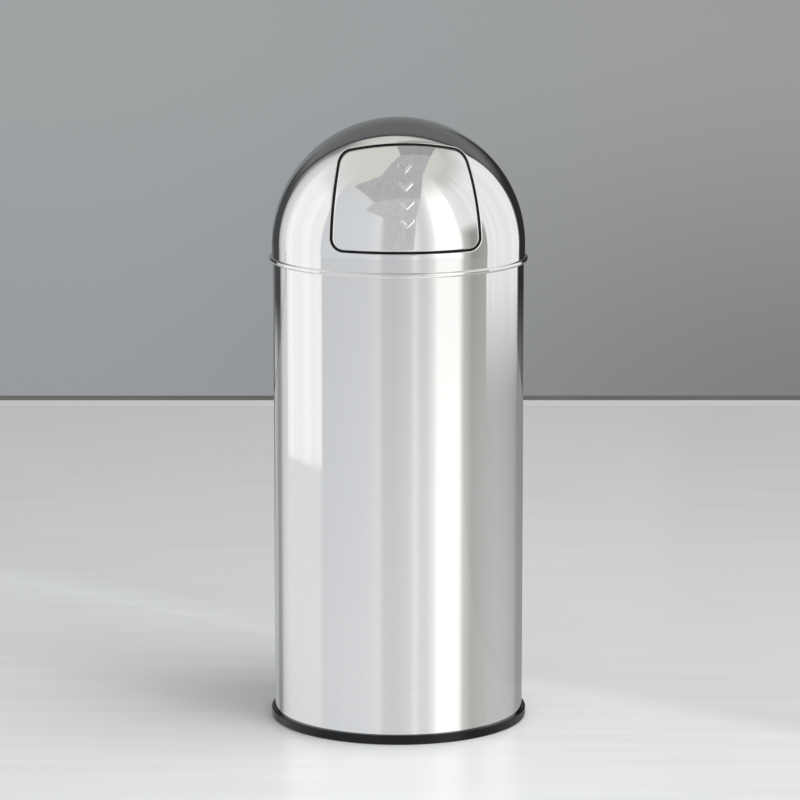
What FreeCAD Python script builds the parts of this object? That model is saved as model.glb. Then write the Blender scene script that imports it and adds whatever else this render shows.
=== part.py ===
import FreeCAD
import Part
import Sketcher
import math
import os

# Push-flap dustbin: a polished tube on a black base ring, a lift-off domed lid with a sprung flap,
# and a galvanised bucket with a bail inside.
# Frame: +Z up, origin on the floor on the bin's axis, and the flap faces -Y.

doc = FreeCAD.newDocument("push_flap_bin")

# Driving dimensions, in millimetres, degrees, counts and shares
SIZES = [
    ("tube_radius", 150.0, "outside of the tube"),
    ("tube_wall", 0.8, "sheet of the tube"),
    ("rim_height", 572.0, "tube's rim above the floor"),
    ("hem_depth", 8.0, "fold inside the rim"),
    ("seam_width", 10.0, "lock seam inside the back"),
    ("ring_band", 4.4, "base ring outside the tube"),
    ("ring_height", 11.0, "base ring above the floor"),
    ("ring_sole", 2.5, "base ring under the tube"),
    ("ring_lip", 2.0, "base ring inside the pan's flange"),
    ("ring_lip_height", 8.0, "top of that lip"),
    ("ring_round", 2.0, "outer edges of the base ring"),
    ("pan_wall", 0.8, "sheet of the base pan"),
    ("pan_height", 15.0, "top of the base pan"),
    ("pan_round", 3.0, "pressed edge of the base pan"),
    ("dish_depth", 4.0, "dish pressed in the pan"),
    ("dish_margin", 45.0, "flat of the pan outside the dish"),
    ("dish_slope", 10.0, "width of the dish's slope"),
    ("lid_clearance", 0.7, "skirt outside the tube"),
    ("lid_wall", 0.8, "sheet of the dome"),
    ("lid_overlap", 11.0, "bead's centre below the rim"),
    ("shoulder_rise", 5.0, "dome's centre above the rim"),
    ("bead_radius", 3.0, "wired bead of the skirt"),
    ("collar_wall", 0.8, "sheet of the collar"),
    ("collar_depth", 20.0, "collar inside the tube"),
    ("collar_clearance", 0.7, "collar inside the hem"),
    ("mouth_half_angle", 36.0, "half the opening, round the dome"),
    ("mouth_bottom_angle", 3.5, "opening's lower edge, up the dome"),
    ("mouth_top_angle", 59.1, "opening's upper edge, up the dome"),
    ("mouth_side_radius_share", 2.64, "bow of the sides, of the dome's radius"),
    ("mouth_top_radius_share", 1.72, "bow of the top, of the dome's radius"),
    ("mouth_low_corner", 15.0, "lower corners of the opening"),
    ("mouth_high_corner", 22.0, "upper corners of the opening"),
    ("flap_side_gap", 3.3, "black line at the flap's sides"),
    ("flap_low_gap", 3.0, "black line under the flap"),
    ("flap_top_gap", 2.0, "black line over the flap"),
    ("backing_gap", 0.5, "backing inside the dome"),
    ("backing_wall", 2.4, "wall of the backing"),
    ("backing_overlap", 4.5, "backing behind the opening's sides and foot"),
    ("backing_top_overlap", 3.5, "backing behind the opening's top"),
    ("land_inset", 2.0, "backing's land inside the panel's edge"),
    ("rib_inset", 14.0, "stiffening rib inside the panel's edge"),
    ("rib_corner", 8.0, "corners of the rib"),
    ("rib_wall", 2.0, "wall of the rib"),
    ("rib_height", 5.0, "rib inside the backing"),
    ("stud_radius", 2.0, "weld studs"),
    ("stud_length", 9.0, "weld studs"),
    ("stud_turn_angle", 24.0, "studs, round the dome"),
    ("stud_low_angle", 18.0, "lower studs, up the dome"),
    ("stud_high_angle", 40.0, "upper studs, up the dome"),
    ("nut_radius", 4.2, "corners of the nuts"),
    ("nut_height", 3.2, "nuts"),
    ("hinge_angle", 72.0, "axle, up the dome"),
    ("hinge_depth", 14.7, "axle inside the dome"),
    ("axle_radius", 3.0, "axle"),
    ("axle_tail", 2.7, "axle past the clips"),
    ("knuckle_radius", 6.5, "backing's lugs round the axle"),
    ("knuckle_start", 8.0, "lugs beside the middle"),
    ("knuckle_length", 9.5, "lugs along the axle"),
    ("lug_reach", 40.0, "lugs down the backing"),
    ("lug_toe", 3.0, "lugs' toe outside the axle"),
    ("lug_setback", 2.0, "lugs below the axle's height"),
    ("bracket_start", 34.5, "brackets beside the middle"),
    ("bracket_wall", 1.5, "sheet of the brackets"),
    ("bracket_radius", 8.0, "brackets round the axle"),
    ("arm_width", 14.0, "brackets where they meet the dome"),
    ("foot_length", 12.0, "brackets' welded feet"),
    ("foot_wall", 1.2, "sheet of the feet"),
    ("bush_radius", 4.5, "bushes in the brackets"),
    ("bush_clearance", 0.06, "axle in the bushes"),
    ("bush_flange", 1.2, "flange of the bushes"),
    ("bush_flange_radius", 6.5, "flange of the bushes"),
    ("bush_tail", 0.8, "bushes past the brackets"),
    ("clip_gap", 0.5, "clips past the bushes"),
    ("clip_wall", 1.0, "retaining clips"),
    ("clip_radius", 5.5, "retaining clips"),
    ("clip_slot_half", 1.6, "mouth of the clips"),
    ("groove_radius", 2.3, "axle under the clips"),
    ("spring_wire", 0.6, "radius of the spring wire"),
    ("spring_coil", 4.6, "radius of the coil at the wire's middle"),
    ("spring_pitch", 1.75, "rise of one turn"),
    ("spring_turns", 5.0, "whole turns"),
    ("spring_gap", 3.4, "coil beside the lug"),
    ("flap_leg", 36.0, "spring leg on the backing"),
    ("dome_leg", 18.0, "spring leg under the dome"),
    ("rest_gap", 0.3, "pieces that lie on another without fixing"),
    ("bucket_clearance", 3.5, "bucket's rim inside the hem"),
    ("bucket_wall", 0.7, "sheet of the bucket"),
    ("bucket_drop", 45.0, "bucket's rim below the tube's"),
    ("bucket_bead", 2.5, "rolled rim of the bucket"),
    ("seam_height", 8.0, "bucket's bottom above its foot"),
    ("ear_wall", 1.5, "sheet of the ears"),
    ("ear_half_width", 12.0, "half an ear"),
    ("ear_round", 9.0, "ear round the pivot"),
    ("ear_drop", 34.0, "ear below the bucket's rim"),
    ("ear_shoulder", 8.0, "ear's full width below the rim"),
    ("rivet_radius", 2.0, "rivets"),
    ("rivet_head", 4.0, "radius of the rivet heads"),
    ("rivet_rise", 1.6, "height of the rivet heads"),
    ("rivet_drop", 12.0, "upper rivet below the rim"),
    ("rivet_spacing", 14.0, "lower rivet below the upper"),
    ("bail_wire_radius", 2.5, "wire of the bail"),
    ("bail_bend", 8.0, "bends beside the ears"),
    ("bail_clearance", 0.4, "bail's pins in the ears"),
    ("pin_gap", 0.6, "pin heads outside the ears"),
    ("pin_head", 4.5, "radius of the pin heads"),
    ("pin_rise", 1.5, "height of the pin heads"),
    ("grip_radius", 5.5, "grip of the bail"),
    ("grip_half_angle", 20.0, "half the grip, round the bail"),
    ("grip_clearance", 0.2, "grip round the wire"),
    ("overrun", 5.0, "cuts past what they cut"),
]

sheet = doc.addObject("Spreadsheet::Sheet", "dims")
for row, (name, size, note) in enumerate(SIZES, start=1):
    sheet.set(f"A{row}", note)
    sheet.set(f"B{row}", str(size))
    sheet.setAlias(f"B{row}", name)
doc.recompute()

# Radii and levels that several pieces share, worked out from the sheet
TUBE_INNER = "(dims.tube_radius - dims.tube_wall)"
HEM_INNER = "(dims.tube_radius - 2 * dims.tube_wall)"
FLANGE_INNER = f"({TUBE_INNER} - dims.pan_wall)"
LID_INNER = "(dims.tube_radius + dims.lid_clearance)"
LID_OUTER = f"({LID_INNER} + dims.lid_wall)"
CENTRE = "(dims.rim_height + dims.shoulder_rise)"
BEAD_LEVEL = "(dims.rim_height - dims.lid_overlap)"
COLLAR_OUTER = f"({HEM_INNER} - dims.collar_clearance)"
BACKING_OUTER = f"({LID_INNER} - dims.backing_gap)"
BACKING_INNER = f"({BACKING_OUTER} - dims.backing_wall)"
BACKING_MIDDLE = f"({BACKING_OUTER} - dims.backing_wall / 2)"
HINGE_RADIUS = f"({LID_INNER} - dims.hinge_depth)"
CLIP_START = "(dims.bracket_start + dims.bracket_wall + dims.bush_tail + dims.clip_gap)"
CLIP_END = f"({CLIP_START} + dims.clip_wall)"
AXLE_HALF = f"({CLIP_END} + dims.axle_tail)"
BUCKET_OUTER = f"({HEM_INNER} - dims.bucket_clearance - dims.bucket_bead)"
BUCKET_INNER = f"({BUCKET_OUTER} - dims.bucket_wall)"
BUCKET_TOP = "(dims.rim_height - dims.bucket_drop)"
EAR_OUTER = f"({BUCKET_INNER} - dims.rest_gap)"
EAR_INNER = f"({EAR_OUTER} - dims.ear_wall)"
UPPER_RIVET = f"({BUCKET_TOP} - dims.rivet_drop)"
LOWER_RIVET = f"({UPPER_RIVET} - dims.rivet_spacing)"
PIVOT = f"({BUCKET_TOP} + dims.grip_radius + dims.rest_gap)"
BAIL_ARM = f"({EAR_INNER} - dims.bail_bend)"
PIN_END = f"({BUCKET_INNER} + dims.pin_gap + dims.pin_rise)"

SIDES = {"left": -1, "right": 1}
# How a sketch counts its own axes, and the ends and the middle of a stretch
V_AXIS, H_AXIS = range(-2, 0)
START, END, MIDDLE = range(1, 4)


def value(expression):
    """The number that an expression gives."""
    return float(sheet.evalExpression(str(expression)))


def bind(item, expressions):
    """Ties properties of an object to expressions."""
    for name, expression in expressions.items():
        item.setExpression(name, expression)


def new_body(label):
    body = doc.addObject("PartDesign::Body", label)
    body.Label = label
    return body


def new_sketch(body, plane, shift="0"):
    """A sketch on one of the body's own planes, moved along that plane's normal."""
    sketch = body.newObject("Sketcher::SketchObject", f"{body.Name}_sketch")
    support = [item for item in body.Origin.OriginFeatures if item.Role == plane][0]
    sketch.AttachmentSupport = [(support, "")]
    sketch.MapMode = "FlatFace"
    bind(sketch, {"AttachmentOffset.Base.z": shift})
    return sketch


def place(sketch, geometry, point, across=None, up=None):
    """Fixes a point of the sketch at expressions for its two places."""
    for kind, axis, expression in (("DistanceX", V_AXIS, across), ("DistanceY", H_AXIS, up)):
        if expression == "0":
            sketch.addConstraint(Sketcher.Constraint("PointOnObject", geometry, point, axis))
        elif expression is not None:
            constraint = Sketcher.Constraint(kind, H_AXIS, START, geometry, point, value(expression))
            number = sketch.addConstraint(constraint)
            sketch.setExpression(f"Constraints[{number}]", expression)


def arc_between(centre, start, end):
    """The arc that turns left from start to end round a centre."""
    first = math.atan2(start.y - centre.y, start.x - centre.x)
    last = math.atan2(end.y - centre.y, end.x - centre.x)
    if last <= first:
        last += 2 * math.pi
    circle = Part.Circle(centre, FreeCAD.Vector(0, 0, 1), start.distanceToPoint(centre))
    return Part.ArcOfCircle(circle, first, last)


def draw(sketch, outline, closed=True):
    """Draws an outline and ties every corner to the sheet.

    A corner is (across, up). Where an arc leads to the next corner it is
    (across, up, centre across, centre up, turn), and turn is left or right.
    """
    corners = [FreeCAD.Vector(value(corner[0]), value(corner[1]), 0) for corner in outline]
    stretches = []
    for index, corner in enumerate(outline if closed else outline[:-1]):
        start = corners[index]
        end = corners[(index + 1) % len(corners)]
        if len(corner) == 2:
            stretches.append((sketch.addGeometry(Part.LineSegment(start, end)), START, END))
            continue
        across, up, turn = corner[2:]
        centre = FreeCAD.Vector(value(across), value(up), 0)
        if turn == "left":
            stretches.append((sketch.addGeometry(arc_between(centre, start, end)), START, END))
        else:
            stretches.append((sketch.addGeometry(arc_between(centre, end, start)), END, START))
        upright = abs(end.x - start.x) <= abs(end.y - start.y)
        place(sketch, stretches[-1][0], MIDDLE, across if upright else None, None if upright else up)
    for index, (geometry, first, last) in enumerate(stretches):
        place(sketch, geometry, first, *outline[index][:2])
        if closed or index + 1 < len(stretches):
            following = stretches[(index + 1) % len(stretches)]
            join = Sketcher.Constraint("Coincident", geometry, last, following[0], following[1])
            sketch.addConstraint(join)
        else:
            place(sketch, geometry, last, *outline[-1][:2])


def draw_circle(sketch, across, up, radius):
    centre = FreeCAD.Vector(value(across), value(up), 0)
    circle = Part.Circle(centre, FreeCAD.Vector(0, 0, 1), value(radius))
    geometry = sketch.addGeometry(circle)
    place(sketch, geometry, MIDDLE, across, up)
    number = sketch.addConstraint(Sketcher.Constraint("Radius", geometry, value(radius)))
    sketch.setExpression(f"Constraints[{number}]", radius)


def revolve(body, sketch, axis="V_Axis"):
    feature = body.newObject("PartDesign::Revolution", f"{body.Name}_revolution")
    feature.Profile = sketch
    feature.ReferenceAxis = (sketch, [axis])
    feature.Angle = 360
    return feature


def pad(body, sketch, length):
    feature = body.newObject("PartDesign::Pad", f"{body.Name}_pad")
    feature.Profile = sketch
    bind(feature, {"Length": length})
    return feature


def lathed(label, outline):
    """A body turned about its Z axis from an outline of (radius, height) corners."""
    body = new_body(label)
    sketch = new_sketch(body, "XZ_Plane")
    draw(sketch, outline)
    revolve(body, sketch)
    return body


def lathed_along_x(label, outline):
    """A body turned about its X axis from an outline of (place along X, radius) corners."""
    body = new_body(label)
    sketch = new_sketch(body, "XY_Plane")
    draw(sketch, outline)
    revolve(body, sketch, "H_Axis")
    return body


def plate_across_x(label, side, start, length, outline, holes=()):
    """A body padded along X from an outline of (Y, Z) corners, on one side of the middle."""
    body = new_body(label)
    near = start if side > 0 else f"-({start}) - ({length})"
    sketch = new_sketch(body, "YZ_Plane", near)
    draw(sketch, outline)
    for hole in holes:
        draw_circle(sketch, *hole)
    pad(body, sketch, length)
    return body


def combine(kind, label, base, tool):
    """A Part::Cut, Part::Fuse or Part::Common of two objects."""
    result = doc.addObject(f"Part::{kind}", label)
    result.Label = label
    result.Base = base
    result.Tool = tool
    return result


def fuse_all(label, items):
    result = doc.addObject("Part::MultiFuse", label)
    result.Label = label
    result.Shapes = items
    return result


def group(label, items):
    """Separate solids under one name."""
    result = doc.addObject("Part::Compound", label)
    result.Label = label
    result.Links = items
    return result


def ball(label, radius):
    """A ball round the dome's centre."""
    item = doc.addObject("Part::Sphere", label)
    bind(item, {"Radius": radius, "Placement.Base.z": CENTRE})
    return item


def ball_wall(label, outer, inner):
    """The wall between two balls round the dome's centre."""
    return combine("Cut", label, ball(f"{label}_outer", outer), ball(f"{label}_inner", inner))


def flap_outline(sketch, sides, foot, top, corner=None):
    """The opening's outline seen from the front, grown outwards at its sides, foot and top.

    A straight foot, two bowed sides, a bowed top and four round corners, all tangent. The corners
    grow with the outline unless they have a radius of their own.
    """
    half_width = f"({LID_OUTER} * sin(dims.mouth_half_angle) + ({sides}))"
    low = f"({CENTRE} + {LID_OUTER} * sin(dims.mouth_bottom_angle) - ({foot}))"
    high = f"({CENTRE} + {LID_OUTER} * sin(dims.mouth_top_angle) + ({top}))"
    side_radius = f"({LID_OUTER} * dims.mouth_side_radius_share + ({sides}))"
    top_radius = f"({LID_OUTER} * dims.mouth_top_radius_share + ({top}))"
    low_corner = corner or f"(dims.mouth_low_corner + ({foot}))"
    high_corner = corner or f"(dims.mouth_high_corner + ({top}))"
    side_middle = FreeCAD.Vector(value(f"{half_width} - {side_radius}"), value(low), 0)
    top_middle = FreeCAD.Vector(0, value(f"{high} - {top_radius}"), 0)
    low_round = value(low_corner)
    low_run = math.sqrt((value(side_radius) - low_round) ** 2 - low_round**2)
    low_middle = FreeCAD.Vector(side_middle.x + low_run, side_middle.y + low_round, 0)
    # The upper corner's centre lies at a known distance from the centres of the side and the top.
    from_side = value(f"{side_radius} - {high_corner}")
    from_top = value(f"{top_radius} - {high_corner}")
    span = top_middle.sub(side_middle)
    along = (from_side**2 - from_top**2 + span.Length**2) / (2 * span.Length)
    beside = math.sqrt(from_side**2 - along**2)
    way = FreeCAD.Vector(span).normalize()
    square = FreeCAD.Vector(-way.y, way.x, 0)
    options = [side_middle + way * along + square * (beside * turn) for turn in (1, -1)]
    high_middle = max(options, key=lambda point: point.x + point.y)
    rim = {
        "foot": FreeCAD.Vector(low_middle.x, side_middle.y, 0),
        "low": side_middle + (low_middle - side_middle).normalize() * value(side_radius),
        "high": side_middle + (high_middle - side_middle).normalize() * value(side_radius),
        "top": top_middle + (high_middle - top_middle).normalize() * value(top_radius),
    }

    def mirrored(point):
        return FreeCAD.Vector(-point.x, point.y, 0)

    foot_line = Part.LineSegment(mirrored(rim["foot"]), rim["foot"])
    arcs = [
        (low_middle, rim["foot"], rim["low"], low_corner),
        (side_middle, rim["low"], rim["high"], side_radius),
        (high_middle, rim["high"], rim["top"], high_corner),
        (top_middle, rim["top"], mirrored(rim["top"]), top_radius),
        (mirrored(high_middle), mirrored(rim["top"]), mirrored(rim["high"]), high_corner),
        (mirrored(side_middle), mirrored(rim["high"]), mirrored(rim["low"]), side_radius),
        (mirrored(low_middle), mirrored(rim["low"]), mirrored(rim["foot"]), low_corner),
    ]
    stretches = [sketch.addGeometry(foot_line)]
    for centre, start, end, radius in arcs:
        stretches.append(sketch.addGeometry(arc_between(centre, start, end)))
    for index, geometry in enumerate(stretches):
        following = stretches[(index + 1) % len(stretches)]
        sketch.addConstraint(Sketcher.Constraint("Tangent", geometry, END, following, START))
    for geometry, (centre, start, end, radius) in zip(stretches[1:], arcs):
        number = sketch.addConstraint(Sketcher.Constraint("Radius", geometry, value(radius)))
        sketch.setExpression(f"Constraints[{number}]", radius)
    sketch.addConstraint(Sketcher.Constraint("Horizontal", stretches[0]))
    place(sketch, stretches[0], START, None, low)
    place(sketch, stretches[2], MIDDLE, f"{half_width} - {side_radius}", low)
    place(sketch, stretches[4], MIDDLE, "0", f"{high} - {top_radius}")
    place(sketch, stretches[6], MIDDLE, f"{side_radius} - {half_width}", low)


def front_prism(label, sides, foot, top, corner=None):
    """The grown outline of the opening, carried forward through the front of the dome."""
    body = new_body(label)
    sketch = new_sketch(body, "XZ_Plane")
    flap_outline(sketch, sides, foot, top, corner)
    pad(body, sketch, f"{LID_OUTER} + dims.overrun")
    return body


def inset_prism(label, inset, corner=None):
    """A prism inside the flap's own edge."""
    sides = f"-dims.flap_side_gap - ({inset})"
    foot = f"-dims.flap_low_gap - ({inset})"
    top = f"-dims.flap_top_gap - ({inset})"
    return front_prism(label, sides, foot, top, corner)


def at_hinge(item):
    """Moves a piece made round the X axis to the axle, with its Z axis pointing out of the dome."""
    item.Placement.Rotation = FreeCAD.Rotation(FreeCAD.Vector(1, 0, 0), value("90 - dims.hinge_angle"))
    bind(item, {
        "Placement.Rotation.Angle": "90 - dims.hinge_angle",
        "Placement.Base.y": f"-{HINGE_RADIUS} * cos(dims.hinge_angle)",
        "Placement.Base.z": f"{CENTRE} + {HINGE_RADIUS} * sin(dims.hinge_angle)",
    })
    return item


# The body: tube, base pan and base ring

def make_body_tube():
    """A tube with its rim folded inwards once, and a lock seam down the inside of the back."""
    tube = lathed("tube_sheet", [
        ("dims.tube_radius", "dims.ring_sole"),
        ("dims.tube_radius", "dims.rim_height"),
        (HEM_INNER, "dims.rim_height"),
        (HEM_INNER, "dims.rim_height - dims.hem_depth"),
        (TUBE_INNER, "dims.rim_height - dims.hem_depth"),
        (TUBE_INNER, "dims.ring_sole"),
    ])
    seam = new_body("tube_seam")
    sketch = new_sketch(seam, "XY_Plane", "dims.pan_height")
    half = "dims.seam_width / 2"
    middle = "(dims.tube_radius - dims.tube_wall / 2)"
    near = f"sqrt({HEM_INNER}^2 - ({half})^2)"
    far = f"sqrt({middle}^2 - ({half})^2)"
    draw(sketch, [
        (half, near),
        (half, far, "0", "0", "left"),
        (f"-{half}", far),
        (f"-{half}", near, "0", "0", "right"),
    ])
    pad(seam, sketch, "dims.rim_height - dims.hem_depth / 2 - dims.pan_height")
    return combine("Fuse", "body_tube", tube, seam)


def make_base_pan():
    """An inverted pan with a dished floor, whose flange lines the foot of the tube."""
    slope_top = f"({TUBE_INNER} - dims.dish_margin)"
    slope_foot = f"({slope_top} - dims.dish_slope)"
    inner_round = "(dims.pan_round - dims.pan_wall)"
    return lathed("base_pan", [
        ("0", "dims.pan_height - dims.dish_depth"),
        (slope_foot, "dims.pan_height - dims.dish_depth"),
        (slope_top, "dims.pan_height"),
        (f"{TUBE_INNER} - dims.pan_round", "dims.pan_height",
         f"{TUBE_INNER} - dims.pan_round", "dims.pan_height - dims.pan_round", "right"),
        (TUBE_INNER, "dims.pan_height - dims.pan_round"),
        (TUBE_INNER, "dims.ring_sole"),
        (FLANGE_INNER, "dims.ring_sole"),
        (FLANGE_INNER, "dims.pan_height - dims.pan_round",
         f"{TUBE_INNER} - dims.pan_round", "dims.pan_height - dims.pan_round", "left"),
        (f"{FLANGE_INNER} - {inner_round}", "dims.pan_height - dims.pan_wall"),
        (f"{slope_top} + dims.pan_wall / 2", "dims.pan_height - dims.pan_wall"),
        (f"{slope_foot} + dims.pan_wall / 2", "dims.pan_height - dims.dish_depth - dims.pan_wall"),
        ("0", "dims.pan_height - dims.dish_depth - dims.pan_wall"),
    ])


def make_base_ring():
    """A black channel that takes the edges of the tube and the pan, round at its outer edges."""
    outer = "(dims.tube_radius + dims.ring_band)"
    rounded = f"({outer} - dims.ring_round)"
    shoulder = "(dims.ring_height - dims.ring_round)"
    lip = f"({FLANGE_INNER} - dims.ring_lip)"
    return lathed("base_ring", [
        (lip, "0"),
        (rounded, "0", rounded, "dims.ring_round", "left"),
        (outer, "dims.ring_round"),
        (outer, shoulder, rounded, shoulder, "left"),
        (rounded, "dims.ring_height"),
        ("dims.tube_radius", "dims.ring_height"),
        ("dims.tube_radius", "dims.ring_sole"),
        (FLANGE_INNER, "dims.ring_sole"),
        (FLANGE_INNER, "dims.ring_lip_height"),
        (lip, "dims.ring_lip_height"),
    ])


# The lid: dome, collar, hinge brackets and bushes

def make_lid_dome():
    """Half a ball on a short skirt with a wired bead, and the flap's opening in its front."""
    dome = lathed("lid_dome", [
        ("0", f"{CENTRE} + {LID_OUTER}", "0", CENTRE, "right"),
        (LID_OUTER, CENTRE),
        (LID_OUTER, f"{BEAD_LEVEL} + dims.bead_radius", LID_OUTER, BEAD_LEVEL, "right"),
        (LID_OUTER, f"{BEAD_LEVEL} - dims.bead_radius"),
        (LID_INNER, f"{BEAD_LEVEL} - dims.bead_radius"),
        (LID_INNER, CENTRE, "0", CENTRE, "left"),
        ("0", f"{CENTRE} + {LID_INNER}"),
    ])
    doc.recompute()
    sketch = new_sketch(dome, "XZ_Plane")
    flap_outline(sketch, "0", "0", "0")
    mouth = dome.newObject("PartDesign::Pocket", "lid_mouth")
    mouth.Profile = sketch
    mouth.Reversed = True
    bind(mouth, {"Length": f"{LID_OUTER} + dims.overrun"})
    return dome


def make_lid_collar():
    """An angle ring that sits on the rim and plugs into it."""
    inner = f"({COLLAR_OUTER} - dims.collar_wall)"
    return lathed("lid_collar", [
        (LID_INNER, "dims.rim_height"),
        (LID_INNER, "dims.rim_height + dims.collar_wall"),
        (inner, "dims.rim_height + dims.collar_wall"),
        (inner, "dims.rim_height - dims.collar_depth"),
        (COLLAR_OUTER, "dims.rim_height - dims.collar_depth"),
        (COLLAR_OUTER, "dims.rim_height"),
    ])


def make_hinge_bracket(name, side, dome_ball, foot_wall):
    """A plate with an eye for the bush, trimmed to the dome, and a welded foot beside it."""
    reach = "dims.hinge_depth + dims.overrun"
    plate = at_hinge(plate_across_x(
        f"bracket_plate_{name}", side, "dims.bracket_start", "dims.bracket_wall",
        [
            ("dims.bracket_radius", "0"),
            ("dims.arm_width", reach),
            ("0", reach),
            ("0", "dims.bracket_radius", "0", "0", "left"),
        ],
        [("0", "0", "dims.bush_radius")],
    ))
    block = at_hinge(plate_across_x(
        f"bracket_block_{name}", side, "dims.bracket_start + dims.bracket_wall / 2", "dims.foot_length",
        [("dims.arm_width", "0"), ("dims.arm_width", reach), ("0", reach), ("0", "0")],
    ))
    trimmed = combine("Common", f"bracket_trimmed_{name}", plate, dome_ball)
    foot = combine("Common", f"bracket_foot_{name}", block, foot_wall)
    return combine("Fuse", f"hinge_bracket_{name}", trimmed, foot)


def make_hinge_bush(name, side):
    """A flanged sleeve in the bracket's eye."""
    flange = f"{side} * (dims.bracket_start - dims.bush_flange)"
    face = f"{side} * dims.bracket_start"
    tail = f"{side} * (dims.bracket_start + dims.bracket_wall + dims.bush_tail)"
    bore = "dims.axle_radius + dims.bush_clearance"
    return at_hinge(lathed_along_x(f"hinge_bush_{name}", [
        (flange, bore),
        (flange, "dims.bush_flange_radius"),
        (face, "dims.bush_flange_radius"),
        (face, "dims.bush_radius"),
        (tail, "dims.bush_radius"),
        (tail, bore),
    ]))


# The springs: a coil round the axle with one leg on the backing and one under the dome

def arc_middle(start, way, end):
    """The middle of the arc from start to end that leaves start along a direction."""
    chord = end.sub(start)
    ahead = FreeCAD.Vector(chord).normalize()
    bulge = way.sub(ahead * way.dot(ahead)).normalize()
    turn = ahead.getAngle(way)
    return (start + end) / 2 + bulge * (chord.Length / 2 * math.tan(turn / 2))


def two_arcs(start, start_way, end, end_way):
    """Two arcs that leave start along one direction, meet smoothly and reach end along another."""
    chord = end.sub(start)
    turn = 2 * (1 - start_way.dot(end_way))
    along = chord.dot(start_way + end_way)
    reach = (math.sqrt(along**2 + turn * chord.dot(chord)) - along) / turn
    meeting = (start + end + (start_way - end_way) * reach) / 2
    first = Part.Arc(start, arc_middle(start, start_way, meeting), meeting)
    last = Part.Arc(meeting, arc_middle(end, end_way * -1, meeting), end)
    return [first.toShape(), last.toShape()]


def make_flap_spring(name, side):
    """A torsion spring whose coil runs out from the lug and whose legs bear on backing and dome."""
    wire = value("dims.spring_wire")
    coil = value("dims.spring_coil")
    pitch = value("dims.spring_pitch")
    first_x = value("dims.knuckle_start + dims.knuckle_length + dims.spring_gap")
    axle_out = value(HINGE_RADIUS)
    seat = wire + value("dims.rest_gap")

    def leg_turn(leg, wall_radius, x):
        """How far a leg leans out from the coil so that its end lies just inside a wall of the dome."""
        room = math.sqrt(wall_radius**2 - x**2 - leg**2) - axle_out - seat
        return math.atan2(room - coil, leg)

    flap_leg = value("dims.flap_leg")
    dome_leg = value("dims.dome_leg")
    turns = value("dims.spring_turns")
    last_x = first_x + turns * pitch
    heading_in = -leg_turn(flap_leg, value(BACKING_INNER), first_x)
    heading_out = leg_turn(dome_leg, value(LID_INNER), last_x + dome_leg * pitch / (2 * math.pi * coil))
    total = 2 * math.pi * turns + heading_in - heading_out
    rise = pitch / (2 * math.pi)

    def point(angle):
        heading = heading_in - angle
        across = side * (first_x + rise * angle)
        return FreeCAD.Vector(across, -coil * math.sin(heading), coil * math.cos(heading))

    def way(angle):
        heading = heading_in - angle
        return FreeCAD.Vector(side * rise, coil * math.cos(heading), coil * math.sin(heading)).normalize()

    steps = math.ceil(total / (math.pi / 2))
    angles = [total * step / steps for step in range(steps + 1)]
    tip = point(0) - way(0) * flap_leg
    edges = [Part.LineSegment(tip, point(0)).toShape()]
    for before, after in zip(angles, angles[1:]):
        edges += two_arcs(point(before), way(before), point(after), way(after))
    end = point(total) + way(total) * dome_leg
    edges.append(Part.LineSegment(point(total), end).toShape())
    path = Part.Wire(edges)
    section = Part.Wire(Part.Circle(tip, way(0), wire).toShape())
    shape = path.makePipeShell([section], True, False)
    whole = math.pi * wire**2 * path.Length
    print(f"flap_spring_{name}: volume {shape.Volume / whole:.4f} of section times length")
    samples_per_turn = 48
    count = int(total / (2 * math.pi) * samples_per_turn)
    samples = [point(total * index / count) for index in range(count + 1)]
    apart = samples_per_turn // 2
    least = min(
        one.distanceToPoint(other)
        for index, one in enumerate(samples)
        for other in samples[index + apart:]
    )
    print(f"flap_spring_{name}: least gap to itself {least - 2 * wire:.3f} mm")
    spring = doc.addObject("Part::Feature", f"flap_spring_{name}")
    spring.Label = f"flap_spring_{name}"
    spring.Shape = shape
    return at_hinge(spring)


# The flap: panel, backing, studs, nuts, axle and clips

STUD_PLACES = [
    (f"{side} * dims.stud_turn_angle", angle)
    for angle in ("dims.stud_low_angle", "dims.stud_high_angle")
    for side in SIDES.values()
]


def out_of_dome(item, turn, angle, radius):
    """Stands a piece on a radius of the dome, its Z axis pointing out and its foot at a radius."""
    swing = FreeCAD.Rotation(FreeCAD.Vector(0, 0, 1), value(turn))
    lean = FreeCAD.Rotation(FreeCAD.Vector(1, 0, 0), 90 - value(angle))
    rotation = swing.multiply(lean)
    centre = FreeCAD.Vector(0, 0, value(CENTRE))
    out = rotation.multVec(FreeCAD.Vector(0, 0, 1))
    item.Placement = FreeCAD.Placement(centre + out * radius, rotation)
    return item


def rod_out(label, radius, length, turn, angle, foot):
    rod = doc.addObject("Part::Cylinder", label)
    bind(rod, {"Radius": radius, "Height": length})
    return out_of_dome(rod, turn, angle, foot)


def make_flap_studs():
    """Four studs welded to the inside of the panel."""
    top = value(f"sqrt({LID_INNER}^2 - dims.stud_radius^2)")
    foot = top - value("dims.stud_length")
    studs = [
        rod_out(f"flap_stud_{index}", "dims.stud_radius", "dims.stud_length", turn, angle, foot)
        for index, (turn, angle) in enumerate(STUD_PLACES)
    ]
    return group("flap_studs", studs)


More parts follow.
